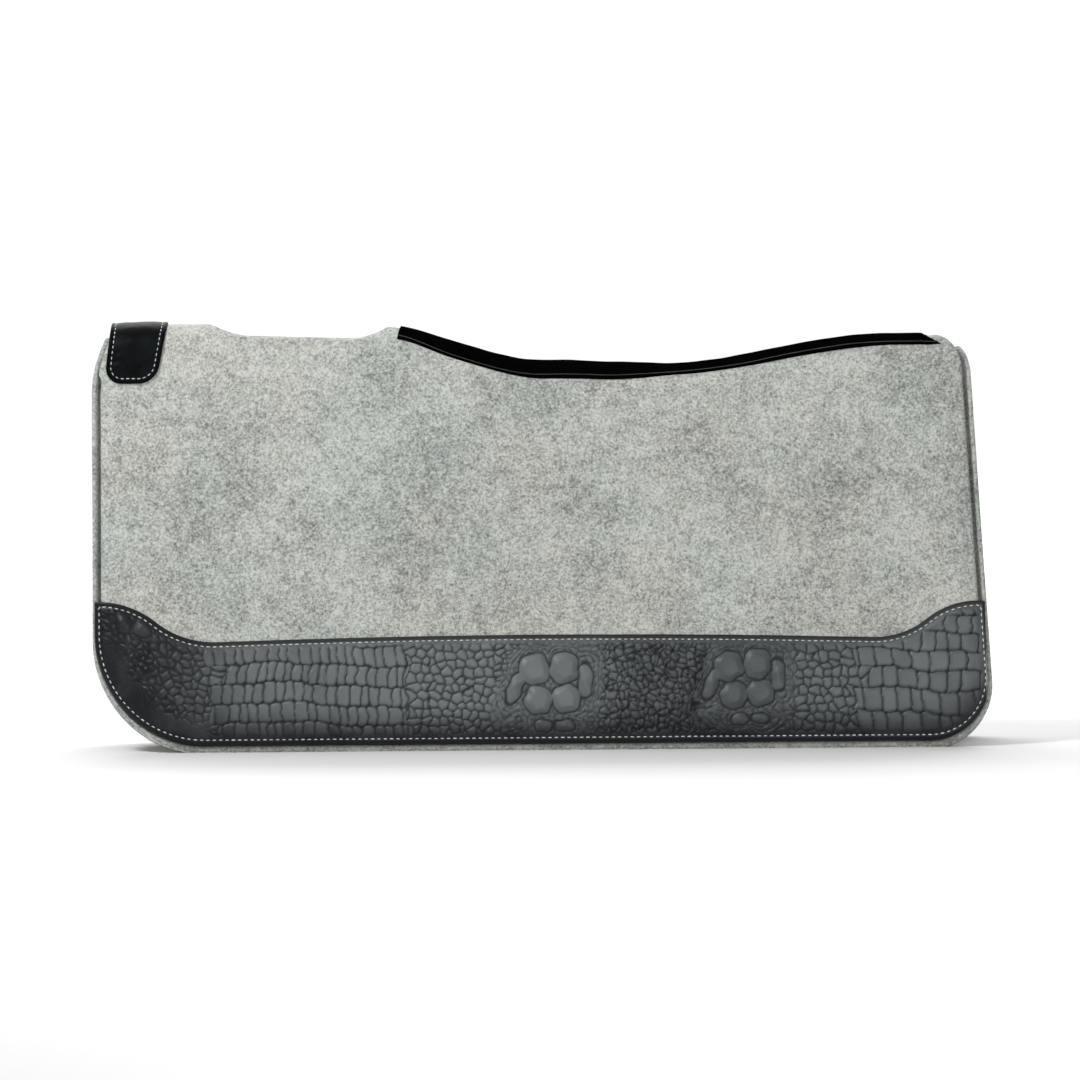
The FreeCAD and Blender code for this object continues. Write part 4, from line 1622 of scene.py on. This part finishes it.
@dataclass
class Studio:
    """Floor, soft lights and the camera."""

    floor_size: float = 14.0
    distance: float = 8.0
    elevation: float = math.radians(2.6)
    roll: float = math.radians(0.46)
    view_width: float = 0.9735
    target: tuple[float, float, float] = (-0.0012, -0.058, 0.1885)
    lamps: tuple[tuple[str, Colour, float, float, Colour], ...] = (
        ("key", (-1.4, -1.5, 2.1), 0.6, 66, (0.0, 0.0, 0.18)),
        ("fill", (1.0, -3.3, 0.4), 1.5, 52, (0.0, 0.0, 0.18)),
        ("top", (0.5, 0.4, 3.0), 1.6, 6, (0.0, 0.0, 0.18)),
        ("wash", (0.0, 4.2, 3.4), 5.0, 420, (0.0, 4.4, 0.0)))
    dim: float = 0.32
    bright: float = 0.7

    def light(self, name: str, spot: Colour, size: float, power: float, aim: Colour) -> None:
        """Add a soft square light.

        Args:
            name: its name.
            spot: where it hangs.
            size: its side.
            power: in watts.
            aim: what it points at.
        """
        lamp = bpy.data.lights.new(name, "AREA")
        lamp.size = size
        lamp.energy = power
        holder = bpy.data.objects.new(name, lamp)
        holder.location = spot
        holder.rotation_euler = (Vector(aim) - Vector(spot)).to_track_quat("-Z", "Y").to_euler()
        bpy.context.scene.collection.objects.link(holder)

    def build(self, finishes: Finishes) -> None:
        """Set the stage."""
        half = self.floor_size / 2 / MM
        corners = np.array([(-half, -half, 0), (half, -half, 0), (half, half, 0), (-half, half, 0)])
        floor = make_piece("studio_floor", corners, [(0, 1, 2, 3)])
        if floor.data.polygons[0].normal.z < 0:
            floor.data.flip_normals()
        finishes.floor.lay_on(floor)
        for lamp in self.lamps:
            self.light(*lamp)
        world = bpy.data.worlds.new("studio")
        world.use_nodes = True
        world.node_tree.nodes.clear()
        tree = Tree(world.node_tree.nodes, world.node_tree.links)
        way = tree.node("ShaderNodeTexCoord").outputs["Generated"]
        depth = tree.node("ShaderNodeSeparateXYZ", {}, {0: way}).outputs["Y"]
        behind = Value(tree, depth).ramp(-0.1, 0.7)
        back = tree.node("ShaderNodeBackground", {}, {
            "Color": (1.0, 1.0, 1.0, 1.0), "Strength": self.dim + behind * self.bright})
        tree.node("ShaderNodeOutputWorld", {}, {"Surface": back.outputs[0]})
        bpy.context.scene.world = world
        bpy.context.scene.view_settings.view_transform = "Standard"
        lens = bpy.data.cameras.new("camera")
        lens.sensor_width = 36
        lens.lens = lens.sensor_width * self.distance / self.view_width
        camera = bpy.data.objects.new("camera", lens)
        target = Vector(self.target)
        away = Vector((0, -math.cos(self.elevation), math.sin(self.elevation)))
        camera.location = target + away * self.distance
        facing = (-away).to_track_quat("-Z", "Y")
        camera.rotation_mode = "QUATERNION"
        turned = facing.to_matrix() @ Matrix.Rotation(-self.roll, 3, "Z")
        camera.rotation_quaternion = turned.to_quaternion()
        bpy.context.scene.collection.objects.link(camera)
        bpy.context.scene.camera = camera


def pad_shape() -> PadShape:
    """The pad's shape, with its length and flex line taken from the frame."""
    low, high = cad_box
    flex = next(j for j in frame["joints"] if j["name"] == "right_flank_flex")
    axis_z = flex["pos_m"][2] / MM
    return PadShape(length=(high[0] - low[0]) / MM, hinge_z=axis_z + PadShape.lean_drop())


def main() -> None:
    """Build the pad from the felt outwards, and the studio round it."""
    logging.basicConfig(level=logging.INFO, format="%(message)s")
    finishes = Finishes()
    Studio().build(finishes)
    shape = pad_shape()
    pattern = HidePattern().lay()
    for side in Side:
        FeltHalf(shape, side, finishes).build()
        WearLeather(shape, side, finishes, pattern).build()
        core = frame["nodes"][f"{side.word}_core_insert"]
        finishes.foam.lay_on(core)
    WitherPatch(shape, finishes).build()
    SpineBand(shape, finishes).build()
    SeamThread(shape, finishes).build()


if __name__ == "__main__":
    main()
